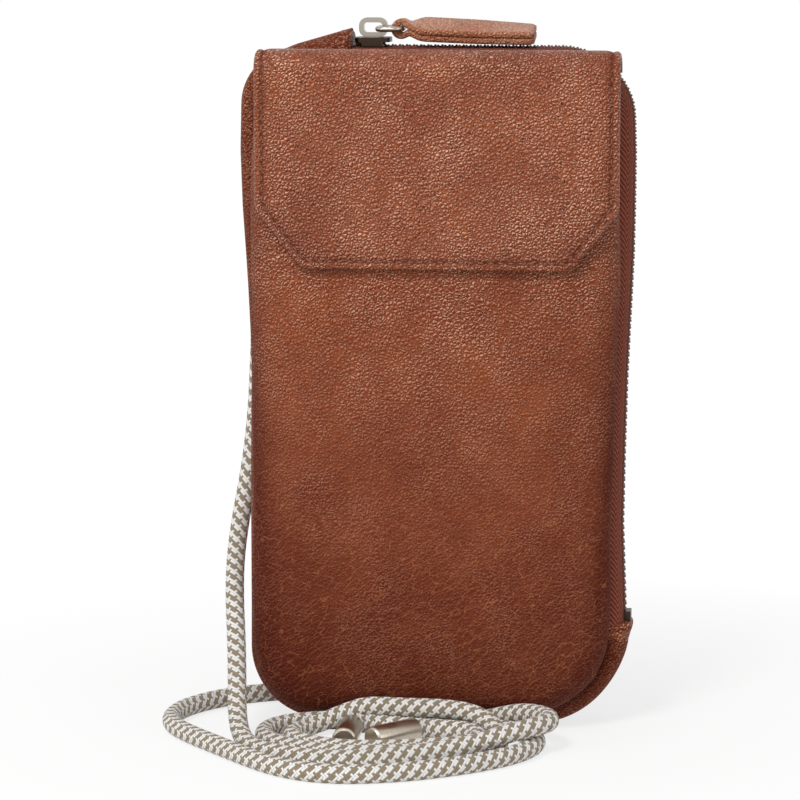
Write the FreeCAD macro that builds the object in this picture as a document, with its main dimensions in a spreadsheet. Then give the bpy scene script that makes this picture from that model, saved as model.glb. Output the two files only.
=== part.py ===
import FreeCAD, Part
import math
import os

import Sketcher

doc = FreeCAD.newDocument("phone_pouch")
sheet = doc.addObject("Spreadsheet::Sheet", "sizes")

# Driving dimensions in millimetres. The front faces -Y, the floor is z = 0 and y = 0 is the zip line.
SIZES = (
    ("pouch_width", 101.5, "pouch, side to side across the gusset"),
    ("pouch_height", 182.5, "pouch, floor to the top of the zip tape"),
    ("low_left_round", 20.0, "pouch outline, radius of the lower left corner"),
    ("low_right_round", 25.0, "pouch outline, radius of the lower right corner"),
    ("top_right_round", 18.0, "pouch outline, radius of the top right corner"),
    ("top_left_round", 14.0, "pouch outline, radius of the top left corner"),
    ("least_round", 2.0, "smallest corner radius of an inner panel"),
    ("gusset_depth", 18.0, "gusset, front seam to back seam"),
    ("gusset_round", 5.0, "gusset, swell beyond the seams"),
    ("leather", 1.3, "leather sheet, thickness"),
    ("foam", 1.5, "padding foam, thickness"),
    ("lining", 0.5, "lining cloth, thickness"),
    ("divider", 1.2, "divider between compartment and pocket, thickness"),
    ("seam_gap", 0.1, "clearance between sewn pieces"),
    ("seam_lap", 1.0, "panel edge beyond the seam line"),
    ("front_round", 5.0, "front panel, edge radius"),
    ("back_round", 2.6, "back panel, edge radius"),
    ("pocket_depth", 5.2, "front pocket, inside depth"),
    ("mouth_drop", 18.5, "front pocket, mouth below the top of the pouch"),
    ("overrun", 6.0, "how far cutting shapes run past the piece"),
    ("flap_width", 96.4, "flap, width"),
    ("flap_middle", 1.4, "flap, x of its middle line"),
    ("flap_drop", 5.8, "flap, fold line below the top of the pouch"),
    ("flap_length", 57.5, "flap, lower edge below the top of the pouch"),
    ("flap_cut_width", 12.5, "flap, width of the cut-off lower corners"),
    ("flap_cut_height", 16.0, "flap, height of the cut-off lower corners"),
    ("flap_corner", 5.0, "flap, corner radius"),
    ("flap_board", 1.2, "flap stiffener, thickness"),
    ("flap_gap", 0.3, "air between the closed flap and the pocket"),
    ("fold_thickness", 1.9, "fold strip, leather and lining together"),
    ("fold_lap", 8.0, "fold strip, length sewn to the divider"),
    ("fold_seam", 58.0, "fold strip, width of its sewn leg"),
    ("magnet_diameter", 14.0, "magnet discs, diameter"),
    ("magnet_rise", 13.0, "magnet discs, middle above the flap's lower edge"),
    ("zip_start", -22.5, "zip, x of its start on the top edge"),
    ("zip_end", 24.0, "zip, height of its end on the right side"),
    ("tape", 0.8, "zip tape, thickness"),
    ("tape_gap", 1.6, "zip tapes, gap between the two edges"),
    ("coil_width", 5.6, "zip coils, width of the closed pair"),
    ("coil_height", 1.0, "zip coils, height above the tape"),
    ("start_tab_length", 3.6, "leather tab over the zip start, length"),
    ("end_tab_length", 4.0, "leather tab over the zip end, length"),
    ("start_tab_height", 4.4, "leather tab over the zip start, height above the gusset"),
    ("end_tab_height", 1.8, "leather tab over the zip end, height above the gusset"),
    ("tab_width", 14.0, "leather tabs, width across the gusset"),
    ("tab_round", 1.5, "leather tabs, edge radius"),
    ("stop_length", 3.0, "bottom stop, length along the coils"),
    ("stop_width", 5.0, "bottom stop, width across the coils"),
    ("stop_height", 1.8, "bottom stop, height"),
    ("slider_gap", 0.4, "slider at rest, clearance from the start tab"),
    ("slider_length", 9.5, "slider, length"),
    ("slider_width", 8.4, "slider, width"),
    ("slider_plate", 1.2, "slider, plate thickness"),
    ("slider_corner", 2.0, "slider, corner radius of the plates"),
    ("slide_gap", 0.3, "slider, running clearance"),
    ("post_length", 2.2, "slider, length of the post between the tapes"),
    ("bridge_length", 7.6, "slider bridge, length"),
    ("bridge_height", 5.2, "slider bridge, height"),
    ("bridge_width", 2.2, "slider bridge, thickness"),
    ("bridge_wall", 1.3, "slider bridge, bar around its eye"),
    ("bridge_corner", 2.2, "slider bridge, outer corner radius"),
    ("ring_length", 6.2, "pull ring, length between bar centres"),
    ("ring_width", 9.5, "pull ring, width between rail centres"),
    ("ring_wire", 1.5, "pull ring, wire diameter"),
    ("ring_corner", 2.0, "pull ring, corner radius of the wire's centre"),
    ("bar_gap", 0.25, "clearance around the pull ring's bars"),
    ("puller_length", 35.5, "puller, bar centre to free end"),
    ("puller_width", 11.0, "puller, width"),
    ("puller_leather", 1.4, "puller, thickness of each layer"),
    ("neck_width", 6.4, "puller, width inside the ring"),
    ("neck_length", 1.5, "puller, bar centre to the end of the neck"),
    ("taper_length", 3.0, "puller, length of the widening part"),
    ("puller_corner", 1.5, "puller, corner radius at the free end"),
    ("cord_diameter", 5.0, "cord, diameter"),
    ("loop_spacing", 40.0, "cord loops, centre to centre"),
    ("loop_height", 150.0, "cord loops, height of the cord in them"),
    ("loop_width", 10.0, "cord loops, width of the strap"),
    ("loop_lap", 8.0, "cord loops, length of each sewn end"),
    ("loop_gap", 0.3, "cord loops, clearance around the cord"),
    ("hank_left", -45.5, "cord coil on the floor, left edge"),
    ("hank_right", 36.2, "cord coil on the floor, right edge"),
    ("hank_front", -78.6, "cord coil on the floor, front edge"),
    ("hank_back", -18.1, "cord coil on the floor, back edge"),
    ("hank_corner", 29.0, "cord coil, outer corner radius"),
    ("hank_thickness", 9.8, "cord coil, height of two lying turns"),
    ("hank_edge", 2.4, "cord coil, edge radius"),
    ("eye_left", -27.0, "open middle of the coil, left edge"),
    ("eye_right", 11.5, "open middle of the coil, right edge"),
    ("eye_front", -47.0, "open middle of the coil, front edge"),
    ("eye_back", -26.4, "open middle of the coil, back edge"),
    ("eye_corner", 3.0, "open middle of the coil, corner radius"),
    ("cap_diameter", 6.5, "cord end caps, diameter"),
    ("cap_length", 15.5, "cord end caps, length"),
    ("cap_bore", 10.0, "cord end caps, depth of the bore for the cord"),
    ("cap_edge", 0.5, "cord end caps, edge radius of the closed end"),
    ("cap_gap", 0.05, "cord end caps, clearance around the cord"),
    ("tail_sink", 2.0, "how far the cord behind a cap runs into the coil"),
)
for row, (alias, value, note) in enumerate(SIZES, start=1):
    sheet.set(f"A{row}", note)
    sheet.set(f"B{row}", str(value))
    sheet.setAlias(f"B{row}", alias)
doc.recompute()

# Planes and places that several pieces share, as expressions on the sheet
HALF_WIDTH = "sizes.pouch_width / 2"
HALF_DEPTH = "sizes.gusset_depth / 2"
FLAP_TOP = "(sizes.pouch_height - sizes.flap_drop)"
OUTLINE_ROUNDS = (
    "sizes.low_left_round",
    "sizes.low_right_round",
    "sizes.top_right_round",
    "sizes.top_left_round",
)
PANEL_INSET = "(sizes.gusset_round - sizes.seam_lap)"
POCKET_BACK = f"(-{HALF_DEPTH} - sizes.seam_gap)"
LINING_BACK = f"({POCKET_BACK} - sizes.pocket_depth)"
PADDING_BACK = f"({LINING_BACK} - sizes.lining)"
PANEL_INSIDE = f"({PADDING_BACK} - sizes.foam)"
PANEL_FRONT = f"({PANEL_INSIDE} - sizes.leather)"
FLAP_BACK = f"({PANEL_FRONT} - sizes.flap_gap)"
BOARD_BACK = f"({FLAP_BACK} - sizes.lining)"
BOARD_FRONT = f"({BOARD_BACK} - sizes.flap_board)"
FLAP_FRONT = f"({BOARD_FRONT} - sizes.leather)"
BACK_START = f"({HALF_DEPTH} + sizes.seam_gap)"
BACK_LINING = f"({BACK_START} + sizes.lining)"
BACK_INSIDE = f"({BACK_LINING} + sizes.foam)"
BACK_FACE = f"({BACK_INSIDE} + sizes.leather)"
FOLD_BACK = POCKET_BACK
FOLD_RADIUS = f"(({FOLD_BACK} - {FLAP_FRONT}) / 2)"
FOLD_Y = f"(({FOLD_BACK} + {FLAP_FRONT}) / 2)"
FLAP_BOTTOM = "(sizes.pouch_height - sizes.flap_length)"
MAGNET_Z = f"({FLAP_BOTTOM} + sizes.magnet_rise)"
COIL_TOP = "(sizes.pouch_height + sizes.seam_gap + sizes.coil_height)"
TAPE_UNDER = "(sizes.pouch_height - sizes.tape)"
SLIDER_X = "(sizes.zip_start + sizes.slider_gap + sizes.slider_length / 2)"
PLATE_UNDER = f"({COIL_TOP} + sizes.slide_gap)"
SLIDER_TOP = f"({PLATE_UNDER} + sizes.slider_plate)"
BAR_X = (
    f"({SLIDER_X} + sizes.bridge_length / 2 - sizes.bridge_wall"
    " - sizes.bar_gap - sizes.ring_wire / 2)"
)
BAR_Z = f"({SLIDER_TOP} + sizes.bridge_wall + sizes.bar_gap + sizes.ring_wire / 2)"
LOOP_INSIDE = "(sizes.cord_diameter / 2 + sizes.loop_gap)"
LOOP_OUTSIDE = f"({LOOP_INSIDE} + sizes.leather)"
LOOP_FOOT = f"({BACK_FACE} + sizes.seam_gap)"
CORD_Y = f"({LOOP_FOOT} + {LOOP_INSIDE})"
LOOP_END = "(sizes.loop_spacing / 2 + sizes.loop_width / 2)"

ALONG_X = FreeCAD.Rotation(FreeCAD.Vector(1, 1, 1), 120)
ALONG_Y = FreeCAD.Rotation(FreeCAD.Vector(1, 0, 0), -90)
BACKWARD = FreeCAD.Rotation(FreeCAD.Vector(0, 0, 1), FreeCAD.Vector(-1, 0, 0))
FULL_TURN = 360
HALF_TURN = 180
PLANE_NORMALS = {
    "XY_Plane": FreeCAD.Vector(0, 0, 1),
    "XZ_Plane": FreeCAD.Vector(0, -1, 0),
    "YZ_Plane": FreeCAD.Vector(1, 0, 0),
}
TOLERANCE = 1e-6


def number(expression):
    """The value of an expression on the sheet."""
    return float(sheet.evalExpression(expression))


def attach(sketch, body, role, offset):
    """Put a sketch on one of its body's origin planes, moved along the plane's normal."""
    plane = next(item for item in body.Origin.OriginFeatures if item.Role == role)
    sketch.AttachmentSupport = [(plane, "")]
    sketch.MapMode = "FlatFace"
    sketch.setExpression("AttachmentOffset.Base.z", offset)


def pin_point(sketch, element, end, across, upward):
    """Fix one end of a sketch element at the given coordinates."""
    for kind, expression in (("DistanceX", across), ("DistanceY", upward)):
        rule = Sketcher.Constraint(kind, -1, 1, element, end, number(expression))
        sketch.setExpression(f"Constraints[{sketch.addConstraint(rule)}]", expression)


def draw_polygon(sketch, corners):
    """A closed outline of straight lines through corners given as pairs of expressions."""
    points = [FreeCAD.Vector(number(across), number(upward), 0) for across, upward in corners]
    count = len(points)
    for index in range(count):
        sketch.addGeometry(Part.LineSegment(points[index], points[(index + 1) % count]))
    for index in range(count):
        sketch.addConstraint(Sketcher.Constraint("Coincident", index, 2, (index + 1) % count, 1))
    for index, (across, upward) in enumerate(corners):
        pin_point(sketch, index, 1, across, upward)


def draw_circle(sketch, across, upward, radius):
    """A circle with its centre and radius bound to the sheet."""
    centre = FreeCAD.Vector(number(across), number(upward), 0)
    element = sketch.addGeometry(Part.Circle(centre, FreeCAD.Vector(0, 0, 1), number(radius)))
    pin_point(sketch, element, 3, across, upward)
    rule = sketch.addConstraint(Sketcher.Constraint("Radius", element, number(radius)))
    sketch.setExpression(f"Constraints[{rule}]", radius)


def rectangle(left, right, bottom, top):
    """The four corners of a rectangle, anticlockwise."""
    return [(left, bottom), (right, bottom), (right, top), (left, top)]


def fillet(body, picked, radius):
    """Round the picked edges of a body's last feature."""
    last = body.Tip
    feature = body.newObject("PartDesign::Fillet", body.Name + "_round")
    feature.Base = (last, [f"Edge{index}" for index in picked])
    feature.setExpression("Radius", radius)
    doc.recompute()


def runs_along(step, normal):
    """Whether a step between two points runs along a plane's normal, or nowhere."""
    return step.cross(normal).Length < TOLERANCE


def alike(corners, radius):
    """The same radius for every corner of a polygon, as prism takes it."""
    return [(range(len(corners)), radius)]


def prism(name, role, corners, offset, length, rounds):
    """A body padded from a polygon along its plane's normal; rounds pairs corners with their radius."""
    body = doc.addObject("PartDesign::Body", name)
    sketch = body.newObject("Sketcher::SketchObject", name + "_outline")
    attach(sketch, body, role, offset)
    draw_polygon(sketch, corners)
    pad = body.newObject("PartDesign::Pad", name + "_pad")
    pad.Profile = sketch
    pad.setExpression("Length", length)
    doc.recompute()
    spots = [sketch.Placement.multVec(line.StartPoint) for line in sketch.Geometry]
    normal = PLANE_NORMALS[role]
    for kept, radius in rounds:
        picked = [
            index
            for index, edge in enumerate(body.Tip.Shape.Edges, start=1)
            if runs_along(edge.lastVertex().Point - edge.firstVertex().Point, normal)
            and any(runs_along(edge.firstVertex().Point - spots[spot], normal) for spot in kept)
        ]
        fillet(body, picked, radius)
    return body


def round_rims(body, axis, planes, radius):
    """Round the edges of a body that lie in planes across one axis."""
    levels = [number(plane) for plane in planes]
    picked = [
        index
        for index, edge in enumerate(body.Tip.Shape.Edges, start=1)
        if any(
            all(abs(getattr(vertex.Point, axis) - level) < TOLERANCE for vertex in edge.Vertexes)
            for level in levels
        )
    ]
    fillet(body, picked, radius)


def slab(name, inset, back, front):
    """A plate with the pouch outline moved in by inset, from the plane y = back to y = front."""
    corners = rectangle(
        f"-({HALF_WIDTH} - {inset})",
        f"{HALF_WIDTH} - {inset}",
        f"{inset}",
        f"sizes.pouch_height - {inset}",
    )
    rounds = [
        ([corner], f"max({radius} - {inset}; sizes.least_round)")
        for corner, radius in enumerate(OUTLINE_ROUNDS)
    ]
    return prism(name, "XZ_Plane", corners, f"-({back})", f"({back}) - ({front})", rounds)


def box(name, across, along, upward):
    """A block between two planes on each axis, given as pairs of expressions."""
    block = doc.addObject("Part::Box", name)
    for axis, size, (low, high) in zip("xyz", ("Length", "Width", "Height"), (across, along, upward)):
        block.setExpression(size, f"({high}) - ({low})")
        block.setExpression(f"Placement.Base.{axis}", low)
    return block


def cylinder(name, rotation, base, radius, length, angle=FULL_TURN):
    """A cylinder or part of one, with its axis turned by a rotation and its base at three expressions."""
    shape = doc.addObject("Part::Cylinder", name)
    shape.Placement = FreeCAD.Placement(FreeCAD.Vector(), rotation)
    shape.Angle = angle
    shape.setExpression("Radius", radius)
    shape.setExpression("Height", length)
    place(shape, *base)
    return shape


def place(item, across, along, upward):
    """Bind an object's position to three expressions."""
    for axis, expression in zip("xyz", (across, along, upward)):
        item.setExpression(f"Placement.Base.{axis}", expression)
    return item


def cut(name, base, *tools):
    """The base with every tool taken away in turn."""
    result = base
    for index, tool in enumerate(tools, start=1):
        last = index == len(tools)
        step = doc.addObject("Part::Cut", name if last else f"{name}_cut{index}")
        step.Base = result
        step.Tool = tool
        result = step
    return result


def common(name, base, tool):
    """What two shapes share."""
    result = doc.addObject("Part::Common", name)
    result.Base = base
    result.Tool = tool
    return result


def fuse(name, *pieces):
    """Several shapes joined into one piece, without the seams between flush faces."""
    result = doc.addObject("Part::MultiFuse", name)
    result.Shapes = list(pieces)
    result.Refine = True
    return result


nodes = {}


def keep(name, item):
    """Name a finished sub-part and list it for writing."""
    item.Label = name
    nodes[name] = item
    return item


# Gusset, lining and zip tapes, all cut from one rounded band between the front and back seams
WIDE = f"({HALF_WIDTH} + sizes.overrun)"
DEEP = f"({HALF_DEPTH} + sizes.overrun)"
HIGH = "(sizes.pouch_height + sizes.overrun)"


def band_solid(name, inset):
    """The filled band inside a given inset, with its front and back rims rounded."""
    back = f"({HALF_DEPTH} - {inset})"
    body = slab(name, inset, back, f"-{back}")
    round_rims(body, "y", (back, f"-{back}"), f"sizes.gusset_round - {inset}")
    return body


band = band_solid("band", "0")
band_in_leather = band_solid("band_in_leather", "sizes.leather")
band_in_lining = band_solid("band_in_lining", "(sizes.leather + sizes.lining)")
band_in_tape = band_solid("band_in_tape", "sizes.tape")
band_clear = band_solid("band_clear", "(-sizes.seam_gap)")
seam_opening = slab("seam_opening", "sizes.gusset_round", DEEP, f"-{DEEP}")
zip_zone = box("zip_zone", ("sizes.zip_start", WIDE), (f"-{DEEP}", DEEP), ("sizes.zip_end", HIGH))

keep("side_gusset", cut("gusset", band, band_in_leather, seam_opening, zip_zone))
keep("gusset_lining", cut("gusset_cloth", band_in_leather, band_in_lining, seam_opening, zip_zone))

tape_band = cut("tape_band", band, band_in_tape, seam_opening)
coil_half = "(sizes.coil_width / 2)"
coil_solid = slab("coil_solid", "(-sizes.coil_height)", coil_half, f"-{coil_half}")
coil_band = cut("coil_band", coil_solid, band_clear)
tape_start = ("sizes.zip_start", WIDE)
tape_end = ("sizes.zip_end", HIGH)
coil_start = ("sizes.zip_start + sizes.seam_gap", WIDE)
coil_end = ("sizes.zip_end + sizes.end_tab_length + sizes.stop_length + 2 * sizes.seam_gap", HIGH)
for side, along in (
    ("front", (f"-{DEEP}", "-sizes.tape_gap / 2")),
    ("back", ("sizes.tape_gap / 2", DEEP)),
):
    tape_zone = box(f"tape_zone_{side}", tape_start, along, tape_end)
    coil_zone = box(f"coil_zone_{side}", coil_start, along, coil_end)
    keep(f"zip_tape_{side}", common(f"tape_{side}", tape_band, tape_zone))
    keep(f"zip_coil_{side}", common(f"coil_{side}", coil_band, coil_zone))

# Leather tabs sewn over both ends of the zip, and the metal stop under the last turn of the coils
tab_half = "(sizes.tab_width / 2)"


def tab(name, height, zone):
    """A leather tab across the zip, of a given height and kept inside a zone along it."""
    solid = slab(f"{name}_solid", f"(-{height})", tab_half, f"-{tab_half}")
    round_rims(solid, "y", (tab_half, f"-{tab_half}"), "sizes.tab_round")
    return common(name, cut(f"{name}_band", solid, band_clear), zone)


start_zone = box(
    "start_zone",
    ("sizes.zip_start - sizes.start_tab_length", "sizes.zip_start"),
    (f"-{DEEP}", DEEP),
    ("sizes.pouch_height - sizes.top_left_round", HIGH),
)
end_zone = box(
    "end_zone",
    (f"{HALF_WIDTH} - sizes.low_right_round", WIDE),
    (f"-{DEEP}", DEEP),
    ("sizes.zip_end", "sizes.zip_end + sizes.end_tab_length"),
)
keep("zip_start_tab", tab("start_tab", "sizes.start_tab_height", start_zone))
keep("zip_end_tab", tab("end_tab", "sizes.end_tab_height", end_zone))
stop_foot = f"{HALF_WIDTH} + sizes.seam_gap"
stop_start = "sizes.zip_end + sizes.end_tab_length + sizes.seam_gap"
keep("zip_stop", box(
    "stop",
    (stop_foot, f"{stop_foot} + sizes.stop_height"),
    ("-sizes.stop_width / 2", "sizes.stop_width / 2"),
    (stop_start, f"{stop_start} + sizes.stop_length"),
))

# Front pocket: a leather shell with rounded edges over foam and lining, open at its mouth
mouth = box(
    "mouth",
    (f"-{WIDE}", WIDE),
    (f"{PANEL_FRONT} - sizes.overrun", f"{POCKET_BACK} + sizes.overrun"),
    ("sizes.pouch_height - sizes.mouth_drop", HIGH),
)
front_outer = slab("front_outer", PANEL_INSET, POCKET_BACK, PANEL_FRONT)
round_rims(front_outer, "y", (PANEL_FRONT,), "sizes.front_round")
front_inner = slab(
    "front_inner",
    f"({PANEL_INSET} + sizes.leather)",
    f"{POCKET_BACK} + sizes.overrun",
    PANEL_INSIDE,
)
round_rims(front_inner, "y", (PANEL_INSIDE,), "sizes.front_round - sizes.leather")
keep("front_panel", cut("front_shell", front_outer, front_inner, mouth))

front_flat = f"({PANEL_INSET} + sizes.front_round + sizes.seam_gap)"
magnet_radius = "(sizes.magnet_diameter / 2)"
pocket_hole = cylinder(
    "pocket_hole",
    ALONG_Y,
    ("0", PANEL_INSIDE, MAGNET_Z),
    f"{magnet_radius} + sizes.seam_gap",
    "sizes.foam",
)
padding_solid = slab("padding_solid", front_flat, PADDING_BACK, PANEL_INSIDE)
keep("pocket_padding", cut("pocket_foam", padding_solid, mouth, pocket_hole))
lining_solid = slab("lining_solid", front_flat, LINING_BACK, PADDING_BACK)
keep("pocket_lining", cut("pocket_cloth", lining_solid, mouth))
keep("pocket_magnet", cylinder(
    "pocket_disc",
    ALONG_Y,
    ("0", PANEL_INSIDE, MAGNET_Z),
    magnet_radius,
    "sizes.foam",
))

# Divider, and the back panel with its foam and lining
inside_seam = "(sizes.gusset_round + sizes.seam_gap)"
keep("divider_panel", slab(
    "divider_board", inside_seam, f"-{HALF_DEPTH} + sizes.divider", f"-{HALF_DEPTH}"
))
back_outer = slab("back_outer", PANEL_INSET, BACK_FACE, BACK_START)
round_rims(back_outer, "y", (BACK_FACE,), "sizes.back_round")
back_inner = slab(
    "back_inner",
    f"({PANEL_INSET} + sizes.leather)",
    BACK_INSIDE,
    f"{BACK_START} - sizes.overrun",
)
round_rims(back_inner, "y", (BACK_INSIDE,), "sizes.back_round - sizes.leather")
keep("back_panel", cut("back_shell", back_outer, back_inner))
back_flat = f"({PANEL_INSET} + sizes.back_round + sizes.seam_gap)"
keep("back_padding", slab("back_foam", back_flat, BACK_INSIDE, BACK_LINING))
keep("back_lining", slab("back_cloth", back_flat, BACK_LINING, BACK_START))


# Flap: a leather face turned in around a stiffener, closed behind by its lining
CUT_SLOPE = "hypot(sizes.flap_cut_width; sizes.flap_cut_height)"


def flap_plate(name, inset, back, front):
    """A plate of the flap outline moved in by inset; the two lower corners are cut off."""
    side = f"(sizes.flap_width / 2 - {inset})"
    shoulder = (
        f"({FLAP_BOTTOM} + sizes.flap_cut_height + {inset}"
        f" * ({CUT_SLOPE} - sizes.flap_cut_height) / sizes.flap_cut_width)"
    )
    toe = (
        f"(sizes.flap_width / 2 - sizes.flap_cut_width - {inset}"
        f" * ({CUT_SLOPE} - sizes.flap_cut_width) / sizes.flap_cut_height)"
    )
    hem = f"({FLAP_BOTTOM} + {inset})"
    top = f"({FLAP_TOP} - {inset})"
    corners = [
        (f"sizes.flap_middle - {side}", top),
        (f"sizes.flap_middle - {side}", shoulder),
        (f"sizes.flap_middle - {toe}", hem),
        (f"sizes.flap_middle + {toe}", hem),
        (f"sizes.flap_middle + {side}", shoulder),
        (f"sizes.flap_middle + {side}", top),
    ]
    lower = range(1, len(corners) - 1)
    rounds = [(lower, f"max(sizes.flap_corner - {inset}; sizes.least_round)")]
    return prism(name, "XZ_Plane", corners, f"-({back})", f"({back}) - ({front})", rounds)


recess_inset = "sizes.leather"
board_inset = "(sizes.leather + sizes.seam_gap)"
flap_solid = flap_plate("flap_solid", "0", BOARD_BACK, FLAP_FRONT)
flap_recess = flap_plate("flap_recess", recess_inset, f"{BOARD_BACK} + sizes.overrun", BOARD_FRONT)
keep("flap_outer", cut("flap_shell", flap_solid, flap_recess))
flap_hole = cylinder(
    "flap_hole",
    ALONG_Y,
    ("0", BOARD_FRONT, MAGNET_Z),
    f"{magnet_radius} + sizes.seam_gap",
    "sizes.flap_board",
)
board_solid = flap_plate("board_solid", board_inset, BOARD_BACK, BOARD_FRONT)
keep("flap_board", cut("flap_stiffener", board_solid, flap_hole))
keep("flap_lining", flap_plate("flap_cloth", "sizes.seam_gap", FLAP_BACK, BOARD_BACK))
keep("flap_magnet", cylinder(
    "flap_disc",
    ALONG_Y,
    ("0", BOARD_FRONT, MAGNET_Z),
    magnet_radius,
    "sizes.flap_board",
))

# Fold strip: half a turn of leather from the divider's front over to the top of the flap
fold_base = ("sizes.flap_middle - sizes.flap_width / 2", FOLD_Y, f"{FLAP_TOP} + sizes.seam_gap")
fold_outer = cylinder("fold_outer", ALONG_X, fold_base, FOLD_RADIUS, "sizes.flap_width", HALF_TURN)
fold_inner = cylinder(
    "fold_inner",
    ALONG_X,
    fold_base,
    f"{FOLD_RADIUS} - sizes.fold_thickness",
    "sizes.flap_width",
    HALF_TURN,
)
fold_leg = box(
    "fold_leg",
    ("-sizes.fold_seam / 2", "sizes.fold_seam / 2"),
    (f"{FOLD_BACK} - sizes.fold_thickness", FOLD_BACK),
    (f"{FLAP_TOP} - sizes.fold_lap", f"{FLAP_TOP} + sizes.seam_gap"),
)
keep("flap_fold", fuse("fold", cut("fold_arch", fold_outer, fold_inner), fold_leg))

# Slider: two plates joined by a post between the tapes, with flanges beside the coils
slider_left = f"({SLIDER_X} - sizes.slider_length / 2)"
slider_right = f"({SLIDER_X} + sizes.slider_length / 2)"
slider_half = "(sizes.slider_width / 2)"
slider_outline = rectangle(slider_left, slider_right, f"-{slider_half}", slider_half)
under_top = f"({TAPE_UNDER} - sizes.slide_gap)"
under_bottom = f"({under_top} - sizes.slider_plate)"
slider_rounds = alike(slider_outline, "sizes.slider_corner")
top_plate = prism(
    "top_plate", "XY_Plane", slider_outline, PLATE_UNDER, "sizes.slider_plate", slider_rounds
)
under_plate = prism(
    "under_plate", "XY_Plane", slider_outline, under_bottom, "sizes.slider_plate", slider_rounds
)
post_half = "(sizes.tape_gap / 2 - sizes.slide_gap)"
post = box(
    "post",
    (slider_left, f"{slider_left} + sizes.post_length"),
    (f"-{post_half}", post_half),
    (under_bottom, SLIDER_TOP),
)
flange_start = f"{slider_left} + sizes.slider_corner"
flange_end = f"{slider_right} - sizes.slider_corner"
flange_inside = f"({coil_half} + sizes.slide_gap)"
flange_height = ("sizes.pouch_height + sizes.slide_gap", SLIDER_TOP)
flanges = [
    box(f"flange_{side}", (flange_start, flange_end), along, flange_height)
    for side, along in (
        ("front", (f"-{slider_half}", f"-{flange_inside}")),
        ("back", (flange_inside, slider_half)),
    )
]
keep("slider_body", fuse("slider", top_plate, under_plate, post, *flanges))

# Bridge: the flat eye on the slider that holds the pull ring
bridge_left = f"({SLIDER_X} - sizes.bridge_length / 2)"
bridge_right = f"({SLIDER_X} + sizes.bridge_length / 2)"
bridge_top = f"({SLIDER_TOP} + sizes.bridge_height)"
bridge_outline = rectangle(bridge_left, bridge_right, SLIDER_TOP, bridge_top)
bridge_solid = prism(
    "bridge_solid",
    "XZ_Plane",
    bridge_outline,
    "-sizes.bridge_width / 2",
    "sizes.bridge_width",
    alike(bridge_outline, "sizes.bridge_corner"),
)
eye_outline = rectangle(
    f"{bridge_left} + sizes.bridge_wall",
    f"{bridge_right} - sizes.bridge_wall",
    f"{SLIDER_TOP} + sizes.bridge_wall",
    f"{bridge_top} - sizes.bridge_wall",
)
bridge_eye = prism(
    "bridge_eye",
    "XZ_Plane",
    eye_outline,
    "-sizes.bridge_width / 2 - sizes.overrun",
    "sizes.bridge_width + 2 * sizes.overrun",
    alike(eye_outline, "sizes.bridge_corner - sizes.bridge_wall"),
)
keep("slider_bridge", cut("bridge", bridge_solid, bridge_eye))


# Pull ring: round wire in a rounded rectangle, its left bar through the eye
def ring_path(sketch):
    """The wire's centre line: four straight runs and four corner arcs, fixed to the sheet."""
    length = number("sizes.ring_length")
    half = number("sizes.ring_width / 2")
    corner = number("sizes.ring_corner")
    up = FreeCAD.Vector(0, 0, 1)
    centres = [
        FreeCAD.Vector(length - corner, corner - half, 0),
        FreeCAD.Vector(length - corner, half - corner, 0),
        FreeCAD.Vector(corner, half - corner, 0),
        FreeCAD.Vector(corner, corner - half, 0),
    ]
    for index, centre in enumerate(centres):
        turn = (index - 1) * math.pi / 2
        circle = Part.Circle(centre, up, corner)
        sketch.addGeometry(Part.ArcOfCircle(circle, turn, turn + math.pi / 2))
    for index in range(len(centres)):
        start = sketch.Geometry[index].EndPoint
        end = sketch.Geometry[(index + 1) % len(centres)].StartPoint
        line = sketch.addGeometry(Part.LineSegment(start, end))
        sketch.addConstraint(Sketcher.Constraint("Tangent", index, 2, line, 1))
        sketch.addConstraint(Sketcher.Constraint("Tangent", line, 2, (index + 1) % len(centres), 1))
    low = "sizes.ring_corner - sizes.ring_width / 2"
    high = "sizes.ring_width / 2 - sizes.ring_corner"
    pin_point(sketch, 0, 3, "sizes.ring_length - sizes.ring_corner", low)
    pin_point(sketch, 2, 3, "sizes.ring_corner", high)
    rule = sketch.addConstraint(Sketcher.Constraint("Radius", 0, corner))
    sketch.setExpression(f"Constraints[{rule}]", "sizes.ring_corner")
    for index in range(1, len(centres)):
        sketch.addConstraint(Sketcher.Constraint("Equal", 0, index))


ring = doc.addObject("PartDesign::Body", "ring")
ring_spine = ring.newObject("Sketcher::SketchObject", "ring_spine")
attach(ring_spine, ring, "XY_Plane", "0")
ring_path(ring_spine)
ring_section = ring.newObject("Sketcher::SketchObject", "ring_section")
attach(ring_section, ring, "YZ_Plane", "sizes.ring_corner")
draw_circle(ring_section, "-sizes.ring_width / 2", "0", "sizes.ring_wire / 2")
ring_sweep = ring.newObject("PartDesign::AdditivePipe", "ring_sweep")
ring_sweep.Profile = ring_section
ring_sweep.Spine = ring_spine
doc.recompute()
keep("pull_ring", place(ring, BAR_X, "0", BAR_Z))

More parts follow.
